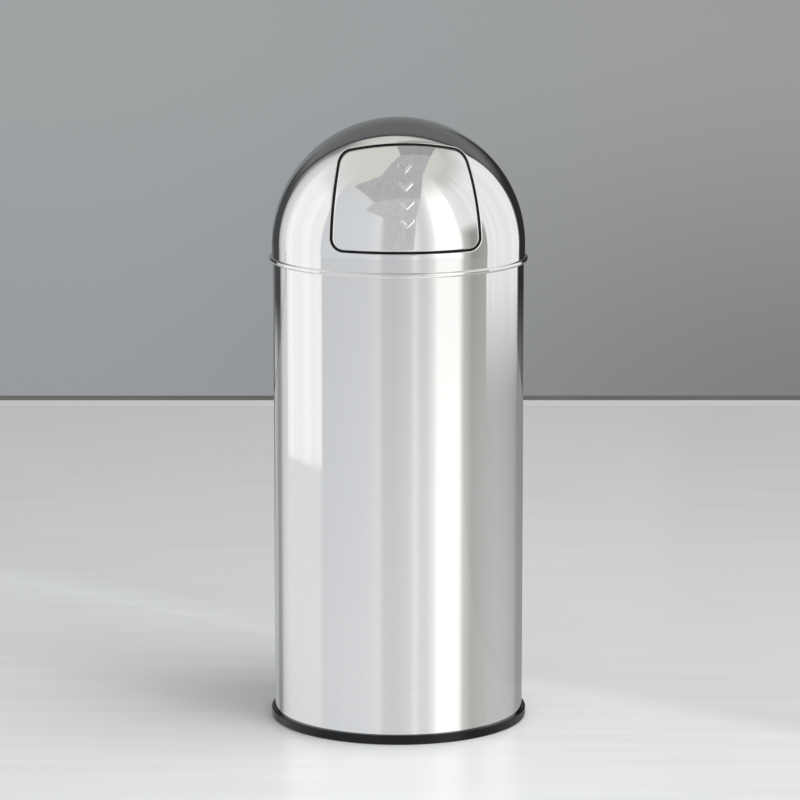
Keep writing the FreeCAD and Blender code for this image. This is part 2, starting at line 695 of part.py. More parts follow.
def make_flap_nuts():
    """Four hexagon nuts that pull the backing against the panel."""
    top = value(f"sqrt({BACKING_INNER}^2 - dims.nut_radius^2)")
    foot = top - value("dims.nut_height")
    nuts = []
    for index, (turn, angle) in enumerate(STUD_PLACES):
        hexagon = doc.addObject("Part::Prism", f"flap_hexagon_{index}")
        hexagon.Polygon = 6
        bind(hexagon, {"Circumradius": "dims.nut_radius", "Height": "dims.nut_height"})
        out_of_dome(hexagon, turn, angle, foot)
        bore = rod_out(f"flap_nut_bore_{index}", "dims.stud_radius",
                       "dims.nut_height + 2 * dims.overrun", turn, angle, foot - value("dims.overrun"))
        nuts.append(combine("Cut", f"flap_nut_{index}", hexagon, bore))
    return group("flap_nuts", nuts)


def make_flap_panel():
    """The piece of the dome that fills its opening, smaller by the gaps round it."""
    wall = ball_wall("panel_wall", LID_OUTER, LID_INNER)
    return combine("Common", "flap_panel", inset_prism("panel_prism", "0"), wall)


def make_flap_backing():
    """A moulded shell behind the panel: a flange behind the opening's edge, a land under the panel,
    a stiffening rib and two lugs round the axle."""
    overlap = "dims.backing_overlap"
    flange = combine(
        "Common", "backing_flange",
        front_prism("flange_prism", overlap, overlap, "dims.backing_top_overlap"),
        ball_wall("flange_wall", BACKING_OUTER, BACKING_INNER),
    )
    land = combine(
        "Common", "backing_land",
        inset_prism("land_prism", "dims.land_inset"),
        ball_wall("land_wall", f"{LID_INNER} - dims.rest_gap", BACKING_MIDDLE),
    )
    rib_ring = combine(
        "Cut", "rib_ring",
        inset_prism("rib_outside", "dims.rib_inset", "dims.rib_corner"),
        inset_prism("rib_inside", "dims.rib_inset + dims.rib_wall", "(dims.rib_corner - dims.rib_wall)"),
    )
    rib_wall = ball_wall("rib_wall_ball", BACKING_MIDDLE, f"{BACKING_INNER} - dims.rib_height")
    rib = combine("Common", "backing_rib", rib_ring, rib_wall)
    lugs = []
    trim = ball("lug_trim", BACKING_MIDDLE)
    for name, side in SIDES.items():
        lug = at_hinge(plate_across_x(
            f"lug_{name}", side, "dims.knuckle_start", "dims.knuckle_length",
            [
                ("-dims.knuckle_radius", "0", "0", "0", "left"),
                ("dims.knuckle_radius", "0"),
                ("-dims.lug_setback", "dims.hinge_depth"),
                ("-dims.lug_reach", "dims.hinge_depth"),
                ("-dims.lug_reach", "dims.lug_toe"),
            ],
        ))
        lugs.append(combine("Common", f"lug_trimmed_{name}", lug, trim))
    whole = fuse_all("backing_whole", [flange, land, rib] + lugs)
    foot = value(f"{BACKING_INNER} - dims.rib_height")
    depth = f"{LID_OUTER} - {BACKING_INNER} + dims.rib_height"
    holes = [
        rod_out(f"stud_hole_{index}", "dims.stud_radius", depth, turn, angle, foot)
        for index, (turn, angle) in enumerate(STUD_PLACES)
    ]
    bore = doc.addObject("Part::Cylinder", "axle_bore")
    bind(bore, {"Radius": "dims.axle_radius", "Height": f"2 * {AXLE_HALF}"})
    # The bore lies along X through the axle's own place.
    bore.Placement.Rotation = FreeCAD.Rotation(FreeCAD.Vector(0, 1, 0), 90)
    bind(bore, {
        "Placement.Base.x": f"-{AXLE_HALF}",
        "Placement.Base.y": f"-{HINGE_RADIUS} * cos(dims.hinge_angle)",
        "Placement.Base.z": f"{CENTRE} + {HINGE_RADIUS} * sin(dims.hinge_angle)",
    })
    return combine("Cut", "flap_backing", whole, fuse_all("backing_holes", holes + [bore]))


def make_hinge_axle():
    """A plain rod with a groove near each end."""
    return at_hinge(lathed_along_x("hinge_axle", [
        (f"-{AXLE_HALF}", "0"),
        (f"-{AXLE_HALF}", "dims.axle_radius"),
        (f"-{CLIP_END}", "dims.axle_radius"),
        (f"-{CLIP_END}", "dims.groove_radius"),
        (f"-{CLIP_START}", "dims.groove_radius"),
        (f"-{CLIP_START}", "dims.axle_radius"),
        (CLIP_START, "dims.axle_radius"),
        (CLIP_START, "dims.groove_radius"),
        (CLIP_END, "dims.groove_radius"),
        (CLIP_END, "dims.axle_radius"),
        (AXLE_HALF, "dims.axle_radius"),
        (AXLE_HALF, "0"),
    ]))


def make_axle_clips():
    """Two open rings in the axle's grooves."""
    slot = "dims.clip_slot_half"
    outer = f"sqrt(dims.clip_radius^2 - {slot}^2)"
    inner = f"sqrt(dims.groove_radius^2 - {slot}^2)"
    clips = [
        at_hinge(plate_across_x(f"axle_clip_{name}", side, CLIP_START, "dims.clip_wall", [
            (outer, slot, "0", "0", "left"),
            (outer, f"-{slot}"),
            (inner, f"-{slot}", "0", "0", "right"),
            (inner, slot),
        ]))
        for name, side in SIDES.items()
    ]
    return group("axle_clips", clips)


# The bucket: wall, bottom, ears and rivets

def make_bucket_wall():
    """A straight galvanised wall with its rim rolled outwards, drilled for the ears' rivets."""
    bead_foot = f"{BUCKET_TOP} - 2 * dims.bucket_bead"
    body = lathed("bucket_wall", [
        (BUCKET_INNER, "dims.pan_height"),
        (BUCKET_OUTER, "dims.pan_height"),
        (BUCKET_OUTER, bead_foot, BUCKET_OUTER, f"{BUCKET_TOP} - dims.bucket_bead", "left"),
        (BUCKET_OUTER, BUCKET_TOP),
        (BUCKET_INNER, BUCKET_TOP),
    ])
    doc.recompute()
    sketch = new_sketch(body, "YZ_Plane")
    for level in (UPPER_RIVET, LOWER_RIVET):
        draw_circle(sketch, "0", level, "dims.rivet_radius")
    holes = body.newObject("PartDesign::Pocket", "rivet_holes")
    holes.Profile = sketch
    holes.Type = "ThroughAll"
    holes.Midplane = True
    return body


def make_bucket_bottom():
    """A pressed disc whose flange stands on the pan inside the wall."""
    plate = "(dims.pan_height + dims.seam_height)"
    inner = f"({BUCKET_INNER} - dims.bucket_wall)"
    return lathed("bucket_bottom", [
        ("0", plate),
        (BUCKET_INNER, plate),
        (BUCKET_INNER, "dims.pan_height"),
        (inner, "dims.pan_height"),
        (inner, f"{plate} - dims.bucket_wall"),
        ("0", f"{plate} - dims.bucket_wall"),
    ])


def make_bucket_ear(name, side, wall):
    """A curved plate inside the wall that rises above the rim round the bail's pin."""
    foot = f"{BUCKET_TOP} - dims.ear_drop"
    shoulder = f"{BUCKET_TOP} - dims.ear_shoulder"
    start = f"{EAR_INNER} - dims.ear_half_width"
    blank = plate_across_x(
        f"ear_blank_{name}", side, start, "dims.ear_half_width + dims.ear_wall + dims.overrun",
        [
            ("-dims.ear_half_width", foot),
            ("dims.ear_half_width", foot),
            ("dims.ear_half_width", shoulder),
            ("dims.ear_round", PIVOT, "0", PIVOT, "left"),
            ("-dims.ear_round", PIVOT),
            ("-dims.ear_half_width", shoulder),
        ],
        [
            ("0", PIVOT, "dims.bail_wire_radius + dims.bail_clearance"),
            ("0", UPPER_RIVET, "dims.rivet_radius"),
            ("0", LOWER_RIVET, "dims.rivet_radius"),
        ],
    )
    return combine("Common", f"bucket_ear_{name}", blank, wall)


def tube_wall(label, outer, inner, height):
    """A round wall from the floor up."""
    shells = []
    for suffix, radius in (("outer", outer), ("inner", inner)):
        shell = doc.addObject("Part::Cylinder", f"{label}_{suffix}")
        bind(shell, {"Radius": radius, "Height": height})
        shells.append(shell)
    return combine("Cut", label, *shells)


def make_ear_rivets():
    """Two rivets through each ear, with a low round head inside and outside."""
    dome = "((dims.rivet_head^2 + dims.rivet_rise^2) / (2 * dims.rivet_rise))"
    inside = f"sqrt({EAR_INNER}^2 - dims.rivet_head^2)"
    rivets = []
    for name, side in SIDES.items():
        turn = "right" if side > 0 else "left"
        for index, level in enumerate((UPPER_RIVET, LOWER_RIVET)):
            rivet = lathed_along_x(f"ear_rivet_{name}_{index}", [
                (f"{side} * ({inside} - dims.rivet_rise)", "0",
                 f"{side} * ({inside} - dims.rivet_rise + {dome})", "0", turn),
                (f"{side} * {inside}", "dims.rivet_head"),
                (f"{side} * {inside}", "dims.rivet_radius"),
                (f"{side} * {BUCKET_OUTER}", "dims.rivet_radius"),
                (f"{side} * {BUCKET_OUTER}", "dims.rivet_head",
                 f"{side} * ({BUCKET_OUTER} + dims.rivet_rise - {dome})", "0", turn),
                (f"{side} * ({BUCKET_OUTER} + dims.rivet_rise)", "0"),
            ])
            bind(rivet, {"Placement.Base.z": level})
            rivets.append(rivet)
    return group("ear_rivets", rivets)


# The bail: wire and grip, folded back on the bucket's rim

def make_bail_wire():
    """A half hoop with its ends turned out through the ears and headed over."""
    body = new_body("bail_wire")
    bind(body, {"Placement.Base.z": PIVOT})
    corner = f"({BAIL_ARM} + dims.bail_bend)"
    path = new_sketch(body, "XY_Plane")
    draw(path, [
        (PIN_END, "0"),
        (corner, "0", corner, "dims.bail_bend", "right"),
        (BAIL_ARM, "dims.bail_bend", "0", "dims.bail_bend", "left"),
        (f"-{BAIL_ARM}", "dims.bail_bend", f"-{corner}", "dims.bail_bend", "right"),
        (f"-{corner}", "0"),
        (f"-{PIN_END}", "0"),
    ], closed=False)
    section = new_sketch(body, "YZ_Plane", PIN_END)
    draw_circle(section, "0", "0", "dims.bail_wire_radius")
    doc.recompute()
    pipe = body.newObject("PartDesign::AdditivePipe", "bail_pipe")
    pipe.Profile = section
    pipe.Spine = path
    for start in (f"{PIN_END} - dims.pin_rise", f"-{PIN_END}"):
        head = new_sketch(body, "YZ_Plane", start)
        draw_circle(head, "0", "0", "dims.pin_head")
        pad(body, head, "dims.pin_rise")
    return body


def make_bail_grip():
    """A moulded sleeve round the middle of the hoop."""
    body = new_body("bail_grip")
    bind(body, {"Placement.Base.y": "dims.bail_bend", "Placement.Base.z": PIVOT})
    sketch = new_sketch(body, "YZ_Plane")
    draw_circle(sketch, BAIL_ARM, "0", "dims.grip_radius")
    draw_circle(sketch, BAIL_ARM, "0", "dims.bail_wire_radius + dims.grip_clearance")
    sleeve = revolve(body, sketch)
    sleeve.Midplane = True
    bind(sleeve, {"Angle": "2 * dims.grip_half_angle"})
    return body


pieces = [make_body_tube(), make_base_pan(), make_base_ring(), make_lid_dome(), make_lid_collar()]
dome_ball = ball("dome_inside", LID_INNER)
foot_wall = ball_wall("bracket_foot_wall", LID_INNER, f"{LID_INNER} - dims.foot_wall")
ear_wall = tube_wall("ear_sheet", EAR_OUTER, EAR_INNER, f"{PIVOT} + dims.ear_round + dims.overrun")
for name, side in SIDES.items():
    pieces.append(make_hinge_bracket(name, side, dome_ball, foot_wall))
    pieces.append(make_hinge_bush(name, side))
    pieces.append(make_flap_spring(name, side))
    pieces.append(make_bucket_ear(name, side, ear_wall))
pieces += [make_flap_panel(), make_flap_backing(), make_flap_studs(), make_flap_nuts()]
pieces += [make_hinge_axle(), make_axle_clips()]
pieces += [make_bucket_wall(), make_bucket_bottom(), make_ear_rivets()]
pieces += [make_bail_wire(), make_bail_grip()]
doc.recompute()

# Every object has to be sound before anything is written
for item in doc.Objects:
    if "Invalid" in item.State or "Error" in item.State:
        raise RuntimeError(f"{item.Label} failed: {item.State}")
for piece in pieces:
    if piece.Shape.isNull() or not piece.Shape.isValid():
        raise RuntimeError(f"{piece.Label} has no sound shape")
dome = doc.getObject("lid_dome").Shape.Solids[0]
if dome.CenterOfMass.y <= 0:
    raise RuntimeError("the flap's opening isn't in the front of the dome")

os.makedirs("parts", exist_ok=True)
for piece in pieces:
    piece.Shape.exportStep(f"parts/{piece.Label}.step")
    print(f"{piece.Label}: {len(piece.Shape.Solids)} solids, {piece.Shape.Volume:.0f} cubic mm")
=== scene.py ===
# %% [markdown]
# A push-flap dustbin, dressed for the camera.
# The real bin is a polished steel tube on a black ring. A domed lid sits on its rim, and a sprung flap
# in the dome lets rubbish fall into a galvanised bucket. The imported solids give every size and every
# joint. This lesson lays smooth surfaces over those that a mirror finish would show as facets.

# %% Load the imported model
import math

import bpy
import numpy as np
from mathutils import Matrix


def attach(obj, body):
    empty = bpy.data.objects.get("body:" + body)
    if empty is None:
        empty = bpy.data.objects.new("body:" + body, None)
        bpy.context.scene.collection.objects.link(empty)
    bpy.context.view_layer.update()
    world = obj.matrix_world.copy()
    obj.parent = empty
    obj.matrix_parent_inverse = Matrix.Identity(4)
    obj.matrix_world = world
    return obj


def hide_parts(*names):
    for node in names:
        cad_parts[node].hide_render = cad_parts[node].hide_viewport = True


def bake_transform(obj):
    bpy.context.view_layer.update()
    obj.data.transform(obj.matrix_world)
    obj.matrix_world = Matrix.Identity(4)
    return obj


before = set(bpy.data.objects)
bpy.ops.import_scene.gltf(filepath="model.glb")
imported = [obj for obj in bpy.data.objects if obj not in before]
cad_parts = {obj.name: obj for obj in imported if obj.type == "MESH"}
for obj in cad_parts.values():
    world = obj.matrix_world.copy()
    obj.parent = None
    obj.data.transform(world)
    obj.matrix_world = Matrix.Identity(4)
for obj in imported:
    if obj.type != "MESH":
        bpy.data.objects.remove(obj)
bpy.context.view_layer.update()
MM = 0.001
print("solids:", len(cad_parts))

# %% [markdown]
# The camera.
# The picture was taken from far away with a long lens, a little to the left of the flap and looking
# down by about ten degrees. A camera could be matched by eye, but the edges of the tube, the bead and
# the base ring fix its height, distance and lens, so those numbers were fitted and are written here.

# %% Set the camera
CAMERA_TURN = math.radians(-4.0)
CAMERA_DISTANCE = 4.90665
CAMERA_HEIGHT = 1.29075
CAMERA_PITCH = math.radians(10.436)
CAMERA_AIM = 0.00036
CAMERA_LENS = 186.56
forward = np.array([-math.sin(CAMERA_TURN), math.cos(CAMERA_TURN), 0.0])
sideways = np.array([math.cos(CAMERA_TURN), math.sin(CAMERA_TURN), 0.0])
upward = np.array([0.0, 0.0, 1.0])
camera_data = bpy.data.cameras.new("camera")
camera_data.lens = CAMERA_LENS
camera = bpy.data.objects.new("camera", camera_data)
camera.location = tuple(-forward * CAMERA_DISTANCE + upward * CAMERA_HEIGHT)
camera.rotation_euler = (math.pi / 2 - CAMERA_PITCH, 0.0, CAMERA_TURN - CAMERA_AIM)
bpy.context.collection.objects.link(camera)
bpy.context.scene.camera = camera
print("camera at", [round(value, 3) for value in camera.location])

# %% [markdown]
# From a grid of points to a mesh.
# Every new piece is a grid: one direction runs along a profile and the other runs round the piece. On
# a mirror the eye sees the normals more than the points, and averaged face normals bend the reflection
# beside every narrow face. So each surface brings its own exact normals along with its points.

# %% Make a mesh from a grid
def unit(arrows):
    """Arrows divided by their own lengths."""
    return arrows / np.linalg.norm(arrows, axis=-1, keepdims=True)


def skin(name, rows, normals, ends=(None, None), closed=False):
    """A mesh over a grid of points.

    rows[i, j] is point i along the profile and j round the piece, in millimetres. The grid wraps round
    j, and along i as well when closed. A point given in ends closes that end with a fan.
    """
    count, around = rows.shape[:2]
    index = np.arange(count * around).reshape(count, around)
    beside = np.roll(index, -1, axis=1)
    above = np.roll(index, -1, axis=0)
    corner = np.roll(above, -1, axis=1)
    last = count if closed else count - 1
    quads = np.stack([index, beside, corner, above], axis=-1)[:last].reshape(-1, 4)
    points = rows.reshape(-1, 3)
    outward = normals.reshape(-1, 3)
    first_face = points[quads[:, :3]]
    facing = np.cross(first_face[:, 1] - first_face[:, 0], first_face[:, 2] - first_face[:, 1])
    turned_in = np.sum(facing * outward[quads[:, 0]]) < 0
    faces = quads.tolist()
    rings = ((beside[0], index[0], ends[0]), (index[-1], beside[-1], ends[1]))
    for start, end, pole in rings:
        if pole is None:
            continue
        middle = outward[start].mean(axis=0)
        fan = np.stack([np.full(around, len(points)), start, end], axis=-1)
        points = np.vstack([points, pole])
        outward = np.vstack([outward, middle])
        faces += fan.tolist()
    if turned_in:
        faces = [face[::-1] for face in faces]
    mesh = bpy.data.meshes.new(name)
    mesh.from_pydata((points * MM).tolist(), [], faces)
    mesh.shade_smooth()
    lengths = np.linalg.norm(outward, axis=1, keepdims=True)
    mesh.normals_split_custom_set_from_vertices((outward / np.maximum(lengths, 1e-9)).tolist())
    piece = bpy.data.objects.new(name, mesh)
    bpy.context.collection.objects.link(piece)
    print(f"{name}: {len(points)} points, {len(faces)} faces")
    return piece


def fit(piece, body, slot, *nodes):
    """Lets a piece ride on a body in place of some solids."""
    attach(piece, body)
    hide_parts(*nodes)
    return piece


# %% [markdown]
# Profiles with rounded corners.
# Sheet metal and mouldings have no sharp corner, and the small rounds are what catch the light. A
# bevel would work too, but a profile that is already rounded knows its exact normal everywhere.

# %% Round the corners of a profile
ROUND_STEPS = 6


def rounded(corners, closed=True):
    """Straight stretches joined by tangent arcs.

    A corner is (distance from the axis, height, rounding) in millimetres, and the outline runs with
    the solid on its left. At a corner that turns by t, an arc of radius r starts r tan(t / 2) before
    it. Points on the arc lie at its centre plus or minus r times the normal.
    """
    corners = np.array(corners, float)
    place = corners[:, :2]
    before = unit(place - np.roll(place, 1, axis=0))
    after = np.roll(before, -1, axis=0)
    across = before[:, 0] * after[:, 1] - before[:, 1] * after[:, 0]
    turn = np.arctan2(across, np.sum(before * after, axis=1))
    radius = corners[:, 2]
    start = place - before * (radius * np.tan(np.abs(turn) / 2))[:, None]
    heading = np.arctan2(-before[:, 0], before[:, 1])
    side = np.sign(turn)[:, None]
    first = np.stack([np.cos(heading), np.sin(heading)], axis=1)
    centre = start - side * radius[:, None] * first
    angle = heading[:, None] + turn[:, None] * np.linspace(0.0, 1.0, ROUND_STEPS + 1)
    normals = np.stack([np.cos(angle), np.sin(angle)], axis=2)
    points = centre[:, None] + side[:, None] * radius[:, None, None] * normals
    if closed:
        return points.reshape(-1, 2), normals.reshape(-1, 2)
    inner = slice(1, -1)
    ends = np.stack([after[0], before[-1]])
    square = np.stack([ends[:, 1], -ends[:, 0]], axis=1)
    points = np.vstack([place[:1], points[inner].reshape(-1, 2), place[-1:]])
    normals = np.vstack([square[:1], normals[inner].reshape(-1, 2), square[1:]])
    return points, normals


# %% [markdown]
# Turned pieces.
# Tube, ring, pan, collar and bucket are round about the bin's axis. A screw modifier could turn their
# profiles, but it would average the normals. Here points and exact normals are carried round together.

# %% Turn a profile about the bin's axis
AROUND = 256


def on_circle(profile, angles):
    """Points (r sin a, -r cos a, h) for every (r, h) of a profile and every angle a."""
    reach = profile[:, :1]
    across = reach * np.sin(angles)
    along = -reach * np.cos(angles)
    height = np.repeat(profile[:, 1:], len(angles), axis=1)
    return np.stack([across, along, height], axis=2)


def turned(name, corners, to_axis=False):
    """A profile turned about Z. One that reaches the axis at both ends is closed there by fans."""
    points, normals = rounded(corners, closed=not to_axis)
    angles = np.linspace(0.0, 2.0 * np.pi, AROUND, endpoint=False)
    if not to_axis:
        return skin(name, on_circle(points, angles), on_circle(normals, angles), closed=True)
    poles = tuple(upward * height for height in (points[0, 1], points[-1, 1]))
    rows = on_circle(points[1:-1], angles)
    return skin(name, rows, on_circle(normals[1:-1], angles), ends=poles)


# %% [markdown]
# The body: tube, base ring and base pan.
# The tube is one rolled sheet with its rim folded inwards, so the rim looks twice as thick as the
# wall and has a full round on top. The black ring is a soft moulding that grips the foot of the tube.
# All three are turned shapes, and their profiles repeat the sizes of the solids.

# %% Make the tube, the base ring and the base pan
TUBE_RADIUS = 150.0
SHEET = 0.8
RIM_HEIGHT = 572.0
HEM_DEPTH = 8.0
RING_SOLE = 2.5
HEM_INNER = TUBE_RADIUS - 2 * SHEET
TUBE_INNER = TUBE_RADIUS - SHEET
body_tube = fit(turned("polished_tube", [
    (TUBE_RADIUS, RING_SOLE, 0.2),
    (TUBE_RADIUS, RIM_HEIGHT, 0.75),
    (HEM_INNER, RIM_HEIGHT, 0.75),
    (HEM_INNER, RIM_HEIGHT - HEM_DEPTH, 0.3),
    (TUBE_INNER, RIM_HEIGHT - HEM_DEPTH, 0.3),
    (TUBE_INNER, RING_SOLE, 0.2),
]), "body", "polished_steel", "body_tube")
RING_OUTER = 154.4
RING_INNER = 146.4
RING_HEIGHT = 11.0
LIP_HEIGHT = 8.0
FLANGE_INNER = TUBE_INNER - SHEET
base_ring = fit(turned("foot_ring", [
    (RING_INNER, 0.0, 0.5),
    (RING_OUTER, 0.0, 2.0),
    (RING_OUTER, RING_HEIGHT, 2.2),
    (TUBE_RADIUS, RING_HEIGHT, 0.4),
    (TUBE_RADIUS, RING_SOLE, 0.2),
    (FLANGE_INNER, RING_SOLE, 0.2),
    (FLANGE_INNER, LIP_HEIGHT, 0.2),
    (RING_INNER, LIP_HEIGHT, 0.5),
]), "body", "black_ring", "base_ring")
PAN_HEIGHT = 15.0
DISH_EDGE = 104.2
DISH_FOOT = 94.2
DISH_LEVEL = PAN_HEIGHT - 4.0
DISH_ROUND = 6.0
base_pan = fit(turned("floor_pan", [
    (0.0, DISH_LEVEL - SHEET, 0.0),
    (DISH_FOOT + SHEET / 2, DISH_LEVEL - SHEET, DISH_ROUND),
    (DISH_EDGE + SHEET / 2, PAN_HEIGHT - SHEET, DISH_ROUND),
    (FLANGE_INNER, PAN_HEIGHT - SHEET, 2.2),
    (FLANGE_INNER, RING_SOLE, 0.3),
    (TUBE_INNER, RING_SOLE, 0.3),
    (TUBE_INNER, PAN_HEIGHT, 3.0),
    (DISH_EDGE, PAN_HEIGHT, DISH_ROUND),
    (DISH_FOOT, DISH_LEVEL, DISH_ROUND),
    (0.0, DISH_LEVEL, 0.0),
], to_axis=True), "body", "galvanised_steel", "base_pan")

# %% [markdown]
# The tube's lock seam.
# A rolled tube is closed by a folded seam down the inside of its back, where nobody sees it until the
# bucket comes out. It is a flat strip with rounded sides that follows the wall.

# %% Make the lock seam
SEAM_HALF = 5.0
SEAM_SUNK = 0.4
SEAM_RISE = 0.8
SEAM_GAP = 0.3
SEAM_MIDDLE = TUBE_INNER - (SEAM_RISE - SEAM_SUNK) / 2
seam_points, seam_normals = rounded([
    (-SEAM_HALF, -SEAM_SUNK, 0.3),
    (SEAM_HALF, -SEAM_SUNK, 0.3),
    (SEAM_HALF, SEAM_RISE, 0.5),
    (-SEAM_HALF, SEAM_RISE, 0.5),
])
seam_turn = seam_points[:, 0] / TUBE_INNER
seam_reach = TUBE_INNER - seam_points[:, 1]
seam_levels = np.array([PAN_HEIGHT + SEAM_GAP, RIM_HEIGHT - HEM_DEPTH / 2])
seam_rows = np.stack([
    np.tile(-seam_reach * np.sin(seam_turn), (2, 1)),
    np.tile(seam_reach * np.cos(seam_turn), (2, 1)),
    np.repeat(seam_levels[:, None], len(seam_turn), axis=1),
], axis=2)
seam_facing = np.stack([-seam_normals[:, 0], -seam_normals[:, 1], np.zeros(len(seam_turn))], axis=1)
seam_poles = tuple(np.array([0.0, SEAM_MIDDLE, level]) for level in seam_levels)
tube_seam = fit(skin("tube_seam", seam_rows, np.tile(seam_facing, (2, 1, 1)), ends=seam_poles),
                "body", "polished_steel", "body_tube")

# %% [markdown]
# The opening's outline.
# Seen from the front, the opening has a straight foot, two bowed sides, a bowed top and four round
# corners. It was cut straight back through the dome. Line and arcs are tangent, so one list of arcs
# gives evenly spaced points and the direction square to the edge.

# %% Lay out the outline of the opening
DOME_CENTRE = 577.0
DOME_OUTER = 151.5
DOME_INNER = 150.7
DOME_SHEET = DOME_OUTER - DOME_INNER
MOUTH_HALF = DOME_OUTER * math.sin(math.radians(36.0))
MOUTH_LOW = DOME_CENTRE + DOME_OUTER * math.sin(math.radians(3.5))
MOUTH_HIGH = DOME_CENTRE + DOME_OUTER * math.sin(math.radians(59.1))
SIDE_BOW = DOME_OUTER * 2.64
TOP_BOW = DOME_OUTER * 1.72
LOW_CORNER = 15.0
HIGH_CORNER = 22.0
MOUTH_COLUMNS = 320
centre_point = upward * DOME_CENTRE


def flap_outline(count, sides=0.0, foot=0.0, top=0.0):
    """Evenly spaced points (x, z) round the opening, and the directions square to it.

    The outline starts at the middle of the foot and runs to the right, up and back round. The low
    corner's centre lies its own radius above the foot and inside the side's arc. The high corner's
    centre is where circles round the centres of side and top meet, each smaller by its radius.
    """
    low = MOUTH_LOW - foot
    low_round = LOW_CORNER + foot
    high_round = HIGH_CORNER + top
    side_bow = SIDE_BOW + sides
    top_bow = TOP_BOW + top
    side_centre = np.array([MOUTH_HALF + sides - side_bow, low])
    top_centre = np.array([0.0, MOUTH_HIGH + top - top_bow])
    low_run = math.sqrt((side_bow - low_round) ** 2 - low_round**2)
    low_centre = side_centre + np.array([low_run, low_round])
    span = top_centre - side_centre
    distance = np.linalg.norm(span)
    from_side = side_bow - high_round
    from_top = top_bow - high_round
    along = (from_side**2 - from_top**2 + distance**2) / (2.0 * distance)
    beside = math.sqrt(from_side**2 - along**2)
    way = span / distance
    square = np.array([-way[1], way[0]])
    high_centre = side_centre + way * along + square * beside

    def bearing(start, end):
        """The angle of the way from one point to another."""
        return math.atan2(end[1] - start[1], end[0] - start[0])

    bends = np.array([
        -math.pi / 2,
        bearing(side_centre, low_centre),
        bearing(side_centre, high_centre),
        bearing(top_centre, high_centre),
        math.pi / 2,
    ])
    radii = np.array([low_round, side_bow, high_round, top_bow])
    centres = np.stack([low_centre, side_centre, high_centre, top_centre])
    reaches = np.concatenate([[0.0, low_centre[0]], low_centre[0] + np.cumsum(radii * np.diff(bends))])
    total = reaches[-1]
    travel = 2.0 * total * np.arange(count) / count
    mirrored = travel > total
    travel = np.where(mirrored, 2.0 * total - travel, travel)
    arc = np.clip(np.searchsorted(reaches, travel, side="right") - 2, -1, len(radii) - 1)
    chosen = np.maximum(arc, 0)
    angle = bends[chosen] + (travel - reaches[chosen + 1]) / radii[chosen]
    straight = arc < 0
    angle = np.where(straight, -math.pi / 2, angle)
    x = np.where(straight, travel, centres[chosen, 0] + radii[chosen] * np.cos(angle))
    z = np.where(straight, low, centres[chosen, 1] + radii[chosen] * np.sin(angle))
    flip = np.where(mirrored, -1.0, 1.0)
    return np.stack([x * flip, z], axis=1), np.stack([np.cos(angle) * flip, np.sin(angle)], axis=1)


outline, outline_square = flap_outline(MOUTH_COLUMNS)
print("opening is", np.ptp(outline, axis=0).round(1), "mm across and up")

# %% [markdown]
# Sheet edges on the ball.
# A cut edge is dressed round, and on polished steel that round shows as a bright line. A bevel's normals
# wouldn't meet the ball's, so a quarter ellipse turns each normal from the face to the edge.

# %% Round a sheet edge on the ball
EDGE_STEPS = 7
EDGE_REACH = 2.0


def on_dome(flat, radius):
    """Carries points (x, z) forward on to a ball round the dome's centre."""
    height = flat[..., 1] - DOME_CENTRE
    depth = np.sqrt(radius**2 - flat[..., 0] ** 2 - height**2)
    return np.stack([flat[..., 0], -depth, flat[..., 1]], axis=-1)


def from_centre(points):
    """Unit directions from the dome's centre."""
    return unit(points - centre_point)


def turned_edge(flat, square, outer, depth, reach):
    """A rounded sheet edge along an outline: a quarter ellipse, reach wide and depth deep.

    At angle t its point lies reach (1 - sin t) from the edge and depth (1 - cos t) below the face, and
    its normal is the face's times cos t / depth plus the edge's times sin t / reach. A positive reach
    starts outside the outline and a negative one inside it.
    """
    tilt = np.linspace(0.0, math.pi / 2, EDGE_STEPS)[:, None]
    out = from_centre(on_dome(flat, outer))
    edge = np.stack([square[:, 0], np.zeros(len(square)), square[:, 1]], axis=1)
    edge = edge - np.sum(edge * out, axis=1, keepdims=True) * out
    lean = np.linalg.norm(edge, axis=1)
    edge = edge / lean[:, None]
    grow = reach * lean * (1.0 - np.sin(tilt))
    spread = flat[None] + grow[..., None] * square[None]
    radius = outer - depth * (1.0 - np.cos(tilt))
    rows = on_dome(spread, radius)
    facing = out[None] * (np.cos(tilt) / depth)[..., None] - edge[None] * (np.sin(tilt) / reach)[..., None]
    return rows, unit(facing)


# %% [markdown]
# The dome.
# It is half a ball on a short skirt that ends in a wired bead. A ball with a hole could be cut with a
# boolean, but the cut would leave ragged faces round the edge. Here every column of the grid starts at
# a point of the opening, follows a great circle to a point of the skirt, runs down over the bead and
# comes back up inside. The shell is then closed, and its outside normals are exactly those of a ball.

# %% Make the dome
DOME_ROWS = 64
CREASE_SHARE = 0.006
SKIRT_LOW = 558.0
BEAD_TOP = 564.0
BEAD_OUTER = 154.5


def great_circle(start, end, share):
    """Points at shares of the way from one unit direction to another, along the shortest arc."""
    angle = np.arccos(np.clip(np.sum(start * end, axis=1), -1.0, 1.0))[None, :, None]
    share = share[:, None, None]
    return (np.sin((1.0 - share) * angle) * start[None] + np.sin(share * angle) * end[None]) / np.sin(angle)


